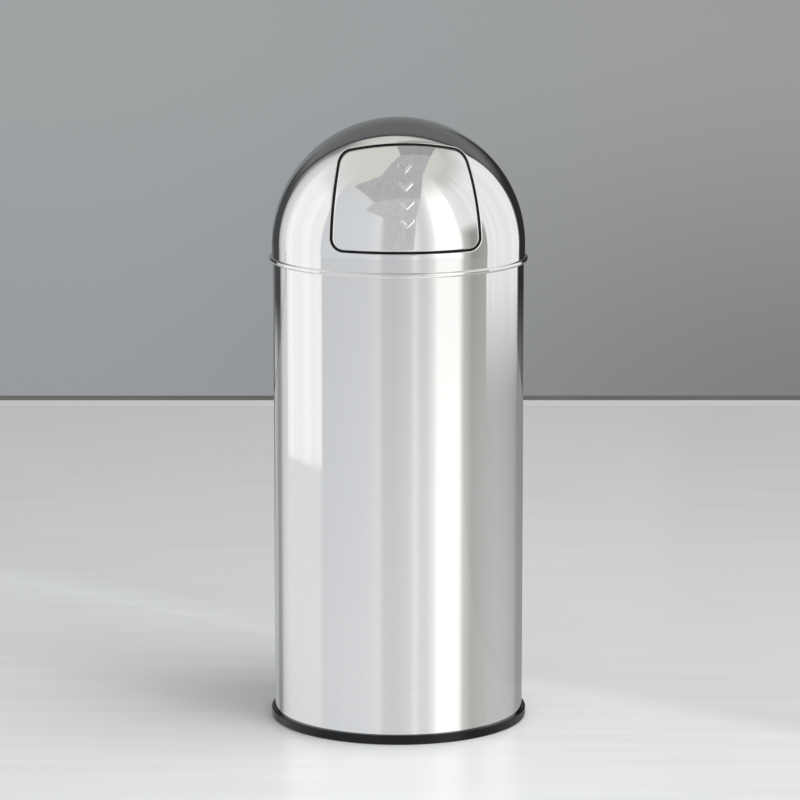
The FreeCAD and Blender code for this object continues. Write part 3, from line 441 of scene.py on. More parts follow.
edge_rows, edge_facing = turned_edge(outline, outline_square, DOME_OUTER, DOME_SHEET, EDGE_REACH)
rim_angles = 2.0 * np.pi * np.arange(MOUTH_COLUMNS) / MOUTH_COLUMNS
rim_way = on_circle(np.array([[1.0, 0.0]]), rim_angles)[0]
shares = np.linspace(0.0, 1.0, DOME_ROWS)
outer_way = great_circle(from_centre(edge_rows[0]), rim_way, shares[1:])
inner_way = great_circle(from_centre(edge_rows[-1]), rim_way, np.append(CREASE_SHARE, shares[1:]))
skirt, skirt_out = rounded([
    (DOME_INNER, DOME_CENTRE, 0.0),
    (DOME_INNER, SKIRT_LOW, 0.3),
    (BEAD_OUTER, SKIRT_LOW, 2.7),
    (BEAD_OUTER, BEAD_TOP, 2.3),
    (DOME_OUTER, BEAD_TOP, 0.65),
    (DOME_OUTER, DOME_CENTRE, 0.0),
], closed=False)
skirt_rows = on_circle(skirt[1:-1], rim_angles)
skirt_facing = on_circle(skirt_out[1:-1], rim_angles)
dome_rows = np.concatenate([
    edge_rows,
    centre_point + DOME_INNER * inner_way,
    skirt_rows,
    centre_point + DOME_OUTER * outer_way[::-1],
])
dome_facing = np.concatenate([edge_facing, -inner_way, skirt_facing, outer_way[::-1]])
lid_dome = fit(skin("polished_dome", dome_rows, dome_facing, closed=True),
               "lid", "polished_steel", "lid_dome")

# %% [markdown]
# The lid's collar.
# An angle ring is welded inside the skirt. Its flat side rests on the rim and its upright side plugs
# into the tube. It is a turned shape like the tube.

# %% Make the collar
COLLAR_GAP = 0.7
COLLAR_OUTER = HEM_INNER - COLLAR_GAP
COLLAR_INNER = COLLAR_OUTER - SHEET
COLLAR_FOOT = RIM_HEIGHT - 20.0
lid_collar = fit(turned("rim_collar", [
    (COLLAR_INNER, COLLAR_FOOT, 0.3),
    (COLLAR_OUTER, COLLAR_FOOT, 0.3),
    (COLLAR_OUTER, RIM_HEIGHT, 0.3),
    (DOME_INNER, RIM_HEIGHT, 0.2),
    (DOME_INNER, RIM_HEIGHT + SHEET, 0.2),
    (COLLAR_INNER, RIM_HEIGHT + SHEET, 0.7),
]), "lid", "galvanised_steel", "lid_collar")

# %% [markdown]
# The flap's panel.
# The flap is the missing piece of the ball, smaller by the black line round it, with its own rounded
# edge. Its middle carries a column of pressed chevrons, plain marks that say where a hand goes. They
# are raised by a soft-edged height, and the height's slope tilts the ball's normals.

# %% Make the flap's panel
PANEL_COLUMNS = 480
PANEL_ROWS = 130
SIDE_GAP = 3.3
FOOT_GAP = 3.0
TOP_GAP = 2.0
INNER_SHARES = (0.98, 0.6, 0.2)
NUDGE = 0.05
MARK_HALF = 6.5
MARK_RISE = 0.55
MARK_STROKE = 1.15
MARK_SOFT = 1.0
MARK_LEVELS = np.array([621.0, 641.5, 662.0, 681.0])
MARK_DROP = 6.0


def chevron_height(x, z):
    """Height of the pressed chevrons. Across the stroke it falls smoothly from full to nothing."""
    level = MARK_LEVELS.reshape((-1,) + (1,) * x.ndim)
    across = np.clip(np.abs(x), 0.0, MARK_HALF)
    line = level + MARK_DROP * (across / MARK_HALF - 0.5)
    slope = math.hypot(1.0, MARK_DROP / MARK_HALF)
    away = np.hypot((z - line) / slope, np.abs(x) - across)
    edge = np.clip((MARK_STROKE + MARK_SOFT - away) / (2.0 * MARK_SOFT), 0.0, 1.0)
    return MARK_RISE * np.max(edge * edge * (3.0 - 2.0 * edge), axis=0)


panel_edge, panel_square = flap_outline(PANEL_COLUMNS, sides=-SIDE_GAP, foot=-FOOT_GAP, top=-TOP_GAP)
rim_rows, rim_facing = turned_edge(panel_edge, panel_square, DOME_OUTER, DOME_SHEET, -EDGE_REACH)
panel_middle = np.array([0.0, (panel_edge[:, 1].min() + panel_edge[:, 1].max()) / 2])
panel_start = rim_rows[0][:, [0, 2]]
panel_shares = (np.arange(1, PANEL_ROWS) / PANEL_ROWS)[:, None, None]
panel_flat = panel_middle + panel_shares * (panel_start - panel_middle)
panel_way = from_centre(on_dome(panel_flat, DOME_OUTER))
rise = chevron_height(panel_flat[..., 0], panel_flat[..., 1])
slope_x = (chevron_height(panel_flat[..., 0] + NUDGE, panel_flat[..., 1]) - rise) / NUDGE
slope_z = (chevron_height(panel_flat[..., 0], panel_flat[..., 1] + NUDGE) - rise) / NUDGE
slope = np.stack([slope_x, np.zeros_like(rise), slope_z], axis=-1)
slope = slope - np.sum(slope * panel_way, axis=-1, keepdims=True) * panel_way
panel_rows = centre_point + panel_way * (DOME_OUTER + rise)[..., None]
inner_shares = np.array(INNER_SHARES)[:, None, None]
inner_flat = panel_middle + inner_shares * (panel_edge - panel_middle)
inner_rows = on_dome(inner_flat, DOME_INNER)
panel_poles = (on_dome(panel_middle, DOME_OUTER), on_dome(panel_middle, DOME_INNER))
flap_panel = fit(skin(
    "polished_flap",
    np.concatenate([panel_rows, rim_rows, inner_rows]),
    np.concatenate([panel_way - slope, rim_facing, -from_centre(inner_rows)]),
    ends=panel_poles,
), "flap", "polished_steel", "flap_panel")

# %% [markdown]
# The flap's springs.
# Two torsion springs sit round the axle. One leg of each lies on the flap's backing and the other
# under the dome, and the coil twists as the flap swings in. The wire is a round section carried along
# a helix with two straight legs.

# %% Make the springs
HINGE_ANGLE = math.radians(72.0)
HINGE_DEPTH = 14.7
HINGE_RADIUS = DOME_INNER - HINGE_DEPTH
HINGE = np.array([
    0.0,
    -HINGE_RADIUS * math.cos(HINGE_ANGLE),
    DOME_CENTRE + HINGE_RADIUS * math.sin(HINGE_ANGLE),
])
WIRE = 0.6
COIL = 4.6
PITCH = 1.75
TURNS = 5
COIL_START = 20.9
COIL_END = COIL_START + TURNS * PITCH
FLAP_LEG = 36.0
DOME_LEG = 18.0
REST_GAP = 0.3
SEAT = WIRE + REST_GAP
BACKING_DEPTH = 2.9
BACKING_INNER = DOME_INNER - BACKING_DEPTH
WIRE_SIDES = 12
TIP_STEPS = 4
TIP_END = 0.45 * math.pi
COIL_STEPS = 48
LEG_STEPS = 12


def leg_lean(leg, wall, x):
    """How far a leg leans out from the coil so that its end lies just inside a wall of the dome."""
    room = math.sqrt(wall**2 - x**2 - leg**2) - HINGE_RADIUS - SEAT
    return math.atan2(room - COIL, leg)


def tube_along(name, line, radius):
    """A round wire along a line, with a small round at each end.

    The section's axes at each point are square to the line's direction, one of them as near to X as
    it can be. At the ends the section shrinks as cos t while it moves on by half a radius sin t.
    """
    way = unit(np.gradient(line, axis=0))
    tip = np.linspace(0.0, TIP_END, TIP_STEPS)[1:]
    shift = radius / 2 * np.sin(tip)[:, None]
    centres = np.vstack([line[0] - (shift * way[0])[::-1], line, line[-1] + shift * way[-1]])
    ways = np.vstack([np.repeat(way[:1], len(tip), 0), way, np.repeat(way[-1:], len(tip), 0)])
    size = np.concatenate([np.cos(tip)[::-1], np.ones(len(line)), np.cos(tip)])
    push = np.concatenate([-np.sin(tip)[::-1], np.zeros(len(line)), np.sin(tip)])
    first = unit(np.array([1.0, 0.0, 0.0]) - ways[:, :1] * ways)
    second = np.cross(ways, first)
    angle = np.linspace(0.0, 2.0 * np.pi, WIRE_SIDES, endpoint=False)[None, :, None]
    arms = np.cos(angle) * first[:, None] + np.sin(angle) * second[:, None]
    rows = centres[:, None] + radius * size[:, None, None] * arms
    facing = size[:, None, None] * arms + push[:, None, None] * ways[:, None]
    poles = (line[0] - radius / 2 * way[0], line[-1] + radius / 2 * way[-1])
    return skin(name, rows, facing, ends=poles)


def flap_spring(name, side):
    """One spring: a leg on the flap, a helix outwards along the axle, and a leg under the dome."""
    lean_in = -leg_lean(FLAP_LEG, BACKING_INNER, COIL_START)
    climb = PITCH / (2.0 * math.pi)
    lean_out = leg_lean(DOME_LEG, DOME_INNER, COIL_END + DOME_LEG * climb / COIL)
    total = 2.0 * math.pi * TURNS + lean_in - lean_out
    heading = lean_in - np.linspace(0.0, total, COIL_STEPS * TURNS)
    coil = np.stack([
        COIL_START + climb * (lean_in - heading),
        -COIL * np.sin(heading),
        COIL * np.cos(heading),
    ], axis=1)
    ends = heading[[0, -1]]
    way = unit(np.stack([np.full(2, climb), COIL * np.cos(ends), COIL * np.sin(ends)], axis=1))
    steps = np.linspace(1.0, 0.0, LEG_STEPS, endpoint=False)[:, None]
    line = np.vstack([coil[0] - way[0] * FLAP_LEG * steps, coil, coil[-1] + way[1] * DOME_LEG * steps[::-1]])
    tip = math.pi / 2 - HINGE_ANGLE
    lift = np.array([
        [1.0, 0.0, 0.0],
        [0.0, math.cos(tip), -math.sin(tip)],
        [0.0, math.sin(tip), math.cos(tip)],
    ])
    line = line @ lift.T * np.array([side, 1.0, 1.0]) + HINGE
    piece = tube_along(name, line, WIRE)
    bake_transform(piece)
    return piece


springs = [flap_spring("left_spring", -1.0), flap_spring("right_spring", 1.0)]
for spring, node in zip(springs, ("flap_spring_left", "flap_spring_right")):
    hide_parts(node)

# %% [markdown]
# The bucket.
# It is a plain galvanised bucket with a rolled rim and a pressed bottom. Wall and bottom are turned
# shapes like the tube. Its ears, rivets and bail keep their solids, because they have no wide curves
# that facets would spoil.

# %% Make the bucket
BUCKET_OUTER = 142.4
BUCKET_SHEET = 0.7
BUCKET_INNER = BUCKET_OUTER - BUCKET_SHEET
BUCKET_TOP = 527.0
BUCKET_BEAD = 2.5
bucket_wall = fit(turned("bucket_side", [
    (BUCKET_INNER, PAN_HEIGHT, 0.25),
    (BUCKET_OUTER, PAN_HEIGHT, 0.25),
    (BUCKET_OUTER, BUCKET_TOP - 2 * BUCKET_BEAD, 0.4),
    (BUCKET_OUTER + BUCKET_BEAD, BUCKET_TOP - 2 * BUCKET_BEAD, 2.0),
    (BUCKET_OUTER + BUCKET_BEAD, BUCKET_TOP, 2.4),
    (BUCKET_INNER, BUCKET_TOP, 0.65),
]), "bucket", "galvanised_steel", "bucket_wall")
BOTTOM_RISE = 8.0
BOTTOM_TOP = PAN_HEIGHT + BOTTOM_RISE
bucket_bottom = fit(turned("bucket_floor", [
    (0.0, BOTTOM_TOP - BUCKET_SHEET, 0.0),
    (BUCKET_INNER - BUCKET_SHEET, BOTTOM_TOP - BUCKET_SHEET, 0.6),
    (BUCKET_INNER - BUCKET_SHEET, PAN_HEIGHT, 0.2),
    (BUCKET_INNER, PAN_HEIGHT, 0.2),
    (BUCKET_INNER, BOTTOM_TOP, 1.0),
    (0.0, BOTTOM_TOP, 0.0),
], to_axis=True), "bucket", "galvanised_steel", "bucket_bottom")

# %% [markdown]
# Materials.
# A colour is written as the hex value that a picture of the material would show, and one function
# turns it into the linear numbers that the renderer works with. A second function adds a node with its
# settings and links, so a whole material reads as a short list.

# %% Tools for the materials
def colour(code):
    """Linear red, green, blue and alpha from an sRGB hex value."""
    levels = np.array([int(code[index:index + 2], 16) for index in (1, 3, 5)]) / 255.0
    linear = np.where(levels <= 0.04045, levels / 12.92, ((levels + 0.055) / 1.055) ** 2.4)
    return (*linear.tolist(), 1.0)


def add(tree, kind, inputs=None, **settings):
    """Adds a node, sets its properties, and fills its sockets with values or links."""
    made = tree.nodes.new(kind)
    for name, setting in settings.items():
        setattr(made, name, setting)
    for name, given in (inputs or {}).items():
        if isinstance(given, bpy.types.NodeSocket):
            tree.links.new(given, made.inputs[name])
        else:
            made.inputs[name].default_value = given
    return made


def start_material(name):
    """An empty material with its output, and the piece's own coordinates in metres."""
    material = bpy.data.materials.new(name)
    material.use_nodes = True
    tree = material.node_tree
    tree.nodes.clear()
    place = add(tree, "ShaderNodeTexCoord").outputs["Object"]
    return material, tree, place


def finish_material(material, shader):
    """Joins a shader to the material's output."""
    tree = material.node_tree
    add(tree, "ShaderNodeOutputMaterial", {"Surface": shader.outputs[0]})
    print("material:", material.name, len(tree.nodes), "nodes")
    return material


# %% [markdown]
# Polished stainless steel.
# The sheet was ground and buffed until it mirrors the room, so almost everything that it shows is its
# surroundings. Rolling leaves long shallow waves down the tube, and pressing leaves broader ones on the
# dome. Handling leaves faint patches that are a little less sharp.

# %% Mix the polished steels
# Waves of 55 mm across and 500 mm down the tube, 60 mm on the pressed dome, and 0.04 mm high.
TUBE_WAVES = (1 / 0.055, 1 / 0.055, 1 / 0.5)
DOME_WAVES = (1 / 0.06, 1 / 0.06, 1 / 0.06)
WAVE_HEIGHT = 0.00004
# Handling patches of about 56 mm.
PATCHES_PER_METRE = 18.0


def polished_steel(name, wave_scale):
    """Mirror-polished stainless sheet with waves of 1 / wave_scale metres.

    The roughness goes from 0.03 to 0.075 while the patches' noise goes from 0.35 to 0.75.
    """
    material, tree, place = start_material(name)
    stretched = add(tree, "ShaderNodeMapping", {"Vector": place, "Scale": wave_scale})
    waves = add(tree, "ShaderNodeTexNoise", {
        "Vector": stretched.outputs[0], "Scale": 1.0, "Detail": 1.0, "Roughness": 0.4,
    })
    bump = add(tree, "ShaderNodeBump", {"Height": waves.outputs[0], "Distance": WAVE_HEIGHT})
    patches = add(tree, "ShaderNodeTexNoise", {"Vector": place, "Scale": PATCHES_PER_METRE, "Detail": 4.0})
    sharpness = add(tree, "ShaderNodeMapRange", {
        "Value": patches.outputs[0], "From Min": 0.35, "From Max": 0.75, "To Min": 0.03, "To Max": 0.075,
    })
    shader = add(tree, "ShaderNodeBsdfPrincipled", {
        "Base Color": colour("#e9e8e6"), "Metallic": 1.0,
        "Roughness": sharpness.outputs[0], "Normal": bump.outputs[0],
    })
    return finish_material(material, shader)


rolled_steel = polished_steel("polished_stainless_rolled", TUBE_WAVES)
pressed_steel = polished_steel("polished_stainless_pressed", DOME_WAVES)
for piece in (body_tube, tube_seam):
    piece.data.materials.append(rolled_steel)
for piece in (lid_dome, flap_panel):
    piece.data.materials.append(pressed_steel)

# %% [markdown]
# Galvanised steel.
# Hot zinc freezes on the sheet in flat crystals, the spangle. Each crystal is a slightly different grey
# and slightly more or less matt. Cells about twelve millimetres across give that pattern.

# %% Mix the galvanised steel
SPANGLE = 0.012
# The cells' edges wander by up to 6 mm, with bends of about 17 mm.
WANDER = 0.006
BENDS_PER_METRE = 60.0


def galvanised(name):
    """Zinc in cells with wandering edges. A cell's two random numbers set its grey and its roughness."""
    material, tree, place = start_material(name)
    wander = add(tree, "ShaderNodeTexNoise", {"Vector": place, "Scale": BENDS_PER_METRE, "Detail": 2.0})
    bent = add(tree, "ShaderNodeVectorMath", {0: wander.outputs["Color"], 1: (WANDER,) * 3, 2: place},
               operation="MULTIPLY_ADD")
    cells = add(tree, "ShaderNodeTexVoronoi", {"Vector": bent.outputs[0], "Scale": 1 / SPANGLE})
    shade = add(tree, "ShaderNodeSeparateColor", {"Color": cells.outputs["Color"]})
    tint = add(tree, "ShaderNodeMix", {0: shade.outputs[0], 6: colour("#a4a8ab"), 7: colour("#bcc0c2")},
               data_type="RGBA")
    matt = add(tree, "ShaderNodeMapRange", {"Value": shade.outputs[1], "To Min": 0.3, "To Max": 0.46})
    shader = add(tree, "ShaderNodeBsdfPrincipled", {
        "Base Color": tint.outputs[2], "Metallic": 1.0, "Roughness": matt.outputs[0],
    })
    return finish_material(material, shader)


zinc_sheet = galvanised("galvanised_steel_spangled")
for piece in (base_pan, lid_collar, bucket_wall, bucket_bottom):
    piece.data.materials.append(zinc_sheet)

# %% [markdown]
# Plated and drawn steel.
# The axle, nuts, rivets and bail are plain steel with a bright zinc plate, and the springs, clips and
# studs are drawn wire with a thin oil film. Both are metals with soft reflections, streaked very finely.

# %% Mix the small steels
STREAK = 0.002
STREAK_HEIGHT = 0.00003


def small_steel(name, code, low, high):
    """A metal whose roughness wanders between two values over about two millimetres."""
    material, tree, place = start_material(name)
    streaks = add(tree, "ShaderNodeTexNoise", {"Vector": place, "Scale": 1 / STREAK, "Detail": 3.0})
    matt = add(tree, "ShaderNodeMapRange", {"Value": streaks.outputs[0], "To Min": low, "To Max": high})
    bump = add(tree, "ShaderNodeBump", {"Height": streaks.outputs[0], "Distance": STREAK_HEIGHT})
    shader = add(tree, "ShaderNodeBsdfPrincipled", {
        "Base Color": colour(code), "Metallic": 1.0, "Roughness": matt.outputs[0], "Normal": bump.outputs[0],
    })
    return finish_material(material, shader)


zinc_plate = small_steel("bright_zinc_plate", "#c4c6c6", 0.18, 0.34)
drawn_wire = small_steel("drawn_spring_wire", "#8b8c8e", 0.24, 0.42)
for spring in springs:
    spring.data.materials.append(drawn_wire)

# %% [markdown]
# Plastics.
# The base ring is soft black PVC with a dull sheen, and the flap's backing and the grip are moulded ABS
# with a fine spark-eroded texture. The bushes are natural acetal, which is waxy and off-white.

# %% Mix the plastics
# Rubbed places of about 38 mm.
RUBS_PER_METRE = 26.0


def plastic(name, code, worn_code, low, high, grain, depth, shine=0.5):
    """A moulded plastic with a grain of a given size and depth in metres.

    Where it is rubbed, its colour goes from code to worn_code and its roughness from low to high. shine
    is the strength of its reflection.
    """
    material, tree, place = start_material(name)
    texture = add(tree, "ShaderNodeTexNoise", {"Vector": place, "Scale": 1 / grain, "Detail": 2.0})
    rubbed = add(tree, "ShaderNodeTexNoise", {"Vector": place, "Scale": RUBS_PER_METRE, "Detail": 4.0})
    tint = add(tree, "ShaderNodeMix", {0: rubbed.outputs[0], 6: colour(code), 7: colour(worn_code)},
               data_type="RGBA")
    matt = add(tree, "ShaderNodeMapRange", {"Value": rubbed.outputs[0], "To Min": low, "To Max": high})
    bump = add(tree, "ShaderNodeBump", {"Height": texture.outputs[0], "Distance": depth})
    shader = add(tree, "ShaderNodeBsdfPrincipled", {
        "Base Color": tint.outputs[2], "Roughness": matt.outputs[0], "Normal": bump.outputs[0],
        "Specular IOR Level": shine,
    })
    return finish_material(material, shader)


black_pvc = plastic("soft_black_pvc", "#040505", "#090a0a", 0.16, 0.28, 0.0015, 0.00002, 0.3)
black_abs = plastic("moulded_black_abs", "#050505", "#0b0b0b", 0.55, 0.7, 0.0007, 0.00004, 0.25)
acetal = plastic("natural_acetal", "#e4e0d5", "#eeebe2", 0.32, 0.42, 0.002, 0.00001)
base_ring.data.materials.append(black_pvc)

# %% [markdown]
# The solids that stay.
# Brackets, bushes, backing, studs, nuts, axle, clips, ears, rivets and bail keep the meshes that the
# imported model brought. Each one only gets its finish.

# %% Dress the solids that stay
FINISHES = [
    (zinc_sheet, ["hinge_bracket_left", "hinge_bracket_right", "bucket_ear_left", "bucket_ear_right"]),
    (acetal, ["hinge_bush_left", "hinge_bush_right"]),
    (black_abs, ["flap_backing", "bail_grip"]),
    (drawn_wire, ["flap_studs", "axle_clips"]),
    (zinc_plate, ["flap_nuts", "hinge_axle", "ear_rivets", "bail_wire"]),
]
for finish, nodes in FINISHES:
    for node in nodes:
        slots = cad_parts[node].data.materials
        slots.clear()
        slots.append(finish)
    print(finish.name, "on", ", ".join(nodes))

# %% [markdown]
# The floor.
# It is a pale, faintly glossy board floor that ends in a straight line behind the bin. Daylight comes in
# low from the front right, so a slanting edge parts a brighter front from a duller back, and the bin
# keeps the light off a strip to its left. That light and shade are painted into the board's colour, and
# these fades say where the painted edge, the painted shadow strip and a painted streak of light start and
# end.

# %% Measure the floor
FLOOR_BACK = 2.1
FLOOR_FRONT = -5.0
FLOOR_HALF = 4.0
EDGE_DEPTH = 0.057
EDGE_START = FLOOR_BACK - EDGE_DEPTH
GRAIN_LENGTH = 0.35
GRAIN_WIDTH = 0.03
# The direction square to the daylight's edge: to the right, away from the camera, and up.
SLANT = (0.63, 0.777, 0.0)
# Each fade goes smoothly from its third number to its fourth while a reading goes between the first two.
# Most of these fades paint light and shade: a duller back, the bin's shadow, a streak of light, a darker far
# floor.
FLOOR_FADES = {
    "far": ("away", 0.0, 2.0, 0.0, 1.0),
    "beyond": ("slant", 0.19, 0.27, 0.0, 1.0),
    "painted_shadow_edge": ("slant", -0.16, -0.09, 0.0, 0.3),
    "to_left": ("right", -0.1, 0.1, 1.0, 0.0),
    "light_streak_in": ("slant", 0.2, 0.22, 0.0, 1.0),
    "light_streak_out": ("slant", 0.25, 0.32, 1.0, 0.0),
    "grain": ("grain", 0.35, 0.7, 0.0, 0.12),
    "back_edge": ("away", EDGE_START, EDGE_START + 0.01, 0.0, 1.0),
}
floor_material, tree, place = start_material("pale_board_floor")
faced = add(tree, "ShaderNodeVectorRotate", {"Vector": place, "Angle": -CAMERA_TURN}, rotation_type="Z_AXIS")
axes = add(tree, "ShaderNodeSeparateXYZ", {0: faced.outputs[0]})
slant = add(tree, "ShaderNodeVectorMath", {0: faced.outputs[0], 1: SLANT}, operation="DOT_PRODUCT")
stretched = add(tree, "ShaderNodeMapping", {
    "Vector": faced.outputs[0], "Scale": (1 / GRAIN_LENGTH, 1 / GRAIN_WIDTH, 1.0),
})
grain = add(tree, "ShaderNodeTexNoise", {"Vector": stretched.outputs[0], "Scale": 1.0, "Detail": 5.0})
readings = {
    "right": axes.outputs["X"],
    "away": axes.outputs["Y"],
    "slant": slant.outputs["Value"],
    "grain": grain.outputs[0],
}
fades = {}
for name, (reading, low, high, first, last) in FLOOR_FADES.items():
    fade = add(tree, "ShaderNodeMapRange", {0: readings[reading], 1: low, 2: high, 3: first, 4: last},
               interpolation_type="SMOOTHSTEP")
    fades[name] = fade.outputs[0]
print("floor's fades:", *fades)

# %% [markdown]
# The board, its colours and the light painted on it.
# Pale board takes one wash after another: painted shade far away, where the daylight doesn't reach,
# the painted edge of the daylight with the bin's painted shadow and a painted streak of light, the
# grain, and a paler band at the back edge. Polished surfaces see partly through it, because it hands
# on much of the room's light at so flat an angle.

# %% Lay the floor
# The painted streak of light takes a negative share, so it brightens the painted shade.
LIGHT_STREAK_SHARE = -0.45
FLOOR_ROUGHNESS = 0.34
SEE_THROUGH = 0.65


def staged(name, points, faces, material):
    """A mesh in metres that belongs to the room and not to the bin."""
    mesh = bpy.data.meshes.new(name)
    mesh.from_pydata([tuple(point) for point in points], [], faces)
    mesh.materials.append(material)
    piece = bpy.data.objects.new(name, mesh)
    bpy.context.collection.objects.link(piece)
    return piece


# Painted shadow of the bin, painted shade beyond the daylight's edge, and a painted streak of light.
strip = add(tree, "ShaderNodeMath", {0: fades["painted_shadow_edge"], 1: fades["to_left"]}, operation="MULTIPLY")
shade = add(tree, "ShaderNodeMath", {0: fades["beyond"], 1: strip.outputs[0]}, operation="MAXIMUM")
streak = add(tree, "ShaderNodeMath", {0: fades["light_streak_in"], 1: fades["light_streak_out"]}, operation="MULTIPLY")
painted_streak_left = add(tree, "ShaderNodeMath", {0: streak.outputs[0], 1: fades["to_left"]}, operation="MULTIPLY")
painted_light_and_shade = add(tree, "ShaderNodeMath", {0: painted_streak_left.outputs[0], 1: LIGHT_STREAK_SHARE, 2: shade.outputs[0]},
           operation="MULTIPLY_ADD")
painted = colour("#e3e4e5")
# Washes: painted shade far off, painted daylight and shadow, the grain, and a paler back edge.
for share, code in (
    (fades["far"], "#dcdedd"),
    (painted_light_and_shade.outputs[0], "#d6d7d9"),
    (fades["grain"], "#b4b6b8"),
    (fades["back_edge"], "#e2e2df"),
):
    wash = add(tree, "ShaderNodeMix", {0: share, 6: painted, 7: colour(code)}, data_type="RGBA")
    painted = wash.outputs[2]
board = add(tree, "ShaderNodeBsdfPrincipled", {"Base Color": painted, "Roughness": FLOOR_ROUGHNESS})
clear = add(tree, "ShaderNodeBsdfTransparent")
ray = add(tree, "ShaderNodeLightPath")
through = add(tree, "ShaderNodeMath", {0: ray.outputs["Is Glossy Ray"], 1: SEE_THROUGH},
              operation="MULTIPLY")
floor_mix = add(tree, "ShaderNodeMixShader", {
    0: through.outputs[0], 1: board.outputs[0], 2: clear.outputs[0],
})
staged("floor", [
    sideways * across + forward * along
    for across, along in ((-FLOOR_HALF, FLOOR_FRONT), (FLOOR_HALF, FLOOR_FRONT),
                          (FLOOR_HALF, FLOOR_BACK), (-FLOOR_HALF, FLOOR_BACK))
], [(0, 1, 2, 3)], finish_material(floor_material, floor_mix))

# %% [markdown]
# Glowing sheets.
# Polished steel shows what stands round it. Lamps could light the room, but a mirror needs shapes with
# edges, so plain sheets glow there, seen only in reflections. They may fade at foot and top.

# %% Make glowing sheets
SHEET_STEPS = 24
FOLD_WIDTH = 0.12
FOLD_LENGTH = 4.0
FOLD_DIM = 0.94
FOLD_BRIGHT = 1.04


def glow(name, code, strength, low=(-2.0, -1.0), high=(8.0, 9.0)):
    """A sheet that shines, with faint upright folds about a hand wide.

    It fades in between the two heights in low and fades out between the two in high, all in metres.
    """
    material, tree, place = start_material(name)
    folds = add(tree, "ShaderNodeMapping", {
        "Vector": place, "Scale": (1 / FOLD_WIDTH, 1 / FOLD_WIDTH, 1 / FOLD_LENGTH),
    })
    waves = add(tree, "ShaderNodeTexNoise", {"Vector": folds.outputs[0], "Scale": 1.0, "Detail": 2.0})
    height = add(tree, "ShaderNodeSeparateXYZ", {0: place}).outputs["Z"]
    ramps = []
    for reading, (start, end), first, last in (
        (waves.outputs[0], (0.3, 0.7), FOLD_DIM * strength, FOLD_BRIGHT * strength),
        (height, low, 0.0, 1.0),
        (height, high, 1.0, 0.0),
    ):
        ramp = add(tree, "ShaderNodeMapRange", {0: reading, 1: start, 2: end, 3: first, 4: last},
                   interpolation_type="SMOOTHSTEP")
        ramps.append(ramp.outputs[0])
    level, above, below = ramps
    shine = add(tree, "ShaderNodeEmission", {"Color": colour(code), "Strength": level})
    solid = add(tree, "ShaderNodeMath", {0: above, 1: below}, operation="MULTIPLY")
    clear = add(tree, "ShaderNodeBsdfTransparent")
    fade = add(tree, "ShaderNodeMixShader", {0: solid.outputs[0], 1: clear.outputs[0], 2: shine.outputs[0]})
    return finish_material(material, fade)


def reflected(name, points, faces, material):
    """A staged sheet that only mirrors see."""
    piece = staged(name, points, faces, material)
    piece.visible_camera = False
    piece.visible_diffuse = False
    piece.visible_shadow = False
    return piece


def towards(bearing, rise):
    """Unit directions at a bearing from the camera, positive to the right, and an angle of rise."""
    bearing, rise = np.radians(bearing), np.radians(rise)
    flat = np.sin(bearing)[:, None] * sideways - np.cos(bearing)[:, None] * forward
    return np.cos(rise)[:, None] * flat + np.sin(rise)[:, None] * upward


def standing(name, bearings, distance, heights, material):
    """An upright sheet on a circle round the bin, between two bearings and two heights."""
    ring = towards(np.linspace(*bearings, SHEET_STEPS), np.zeros(SHEET_STEPS)) * distance
    points = np.vstack([ring + upward * height for height in heights])
    faces = [(i, i + 1, i + 1 + SHEET_STEPS, i + SHEET_STEPS) for i in range(SHEET_STEPS - 1)]
    return reflected(name, points, faces, material)


def hanging(name, corners, distance, material):
    """A sheet whose corners lie in given directions from the dome's centre."""
    corners = np.array(corners, float)
    points = towards(corners[:, 0], corners[:, 1]) * distance + centre_point * MM
    return reflected(name, points, [tuple(range(len(points)))], material)


# %% [markdown]
# The room that the mirror sees.
# A white curtain hangs to the left and a window lies to the right, with dark doorways at both sides of
# the back wall. A grey blind with its top and its box hangs over the camera, and the flap mirrors it.
# Bearings and rises are in degrees, and the other numbers are in metres.

# %% Hang the sheets
BLIND_DISTANCE = 2.6
standing("curtain", (-119.0, -71.5), 1.75, (0.0, 2.3),
         glow("white_curtain", "#fdfdfe", 1.1, low=(-0.03, 0.02), high=(1.6, 2.3)))
standing("window", (84.0, 136.0), 1.6, (0.1, 3.2),
         glow("window", "#fdfdff", 1.0, low=(0.1, 0.36), high=(1.9, 3.2)))
standing("high_window", (57.0, 86.0), 1.6, (0.85, 3.2),
         glow("high_window", "#fdfdff", 0.98, low=(0.85, 1.15), high=(1.9, 3.2)))
standing("left_doorway", (-156.0, -136.0), 2.6, (0.0, 1.8),
         glow("left_doorway", "#484a4d", 1.0, low=(0.0, 0.12), high=(0.9, 1.8)))
standing("right_doorway", (140.0, 168.0), 2.3, (0.0, 1.8),
         glow("right_doorway", "#302f2e", 1.0, low=(0.0, 0.2), high=(0.9, 1.8)))
hanging("blind", [
    (-13, 2), (-14, 30), (-35, 35), (-28, 43), (26, 46), (17, 29), (13, 2),
], BLIND_DISTANCE, glow("grey_blind", "#cdcfd0", 1.0))
hanging("blind_top", [
    (-28, 43), (-63, 51), (-50, 60), (-35, 68),
    (155, 87), (113, 68), (49, 66), (26, 46),
], BLIND_DISTANCE, glow("blind_top", "#bfc1c2", 1.0))
hanging("blind_box", [
    (-175, 71), (144, 54), (113, 68), (155, 87),
], BLIND_DISTANCE, glow("blind_box", "#aaacad", 1.0))

# %% [markdown]
# The light of the room.
# Further off there are only broad upright bands of light, which a tube draws out into stripes and a dome
# gathers towards its top. Overhead they run together into a pale ceiling, and behind the bin the dull
# back wall fills a wide cone. To the camera the same world is the wall behind the floor, with painted
# shade: darker towards the floor and on the right.

# %% List the bands and their fades
BAND_STRENGTH = 1.6
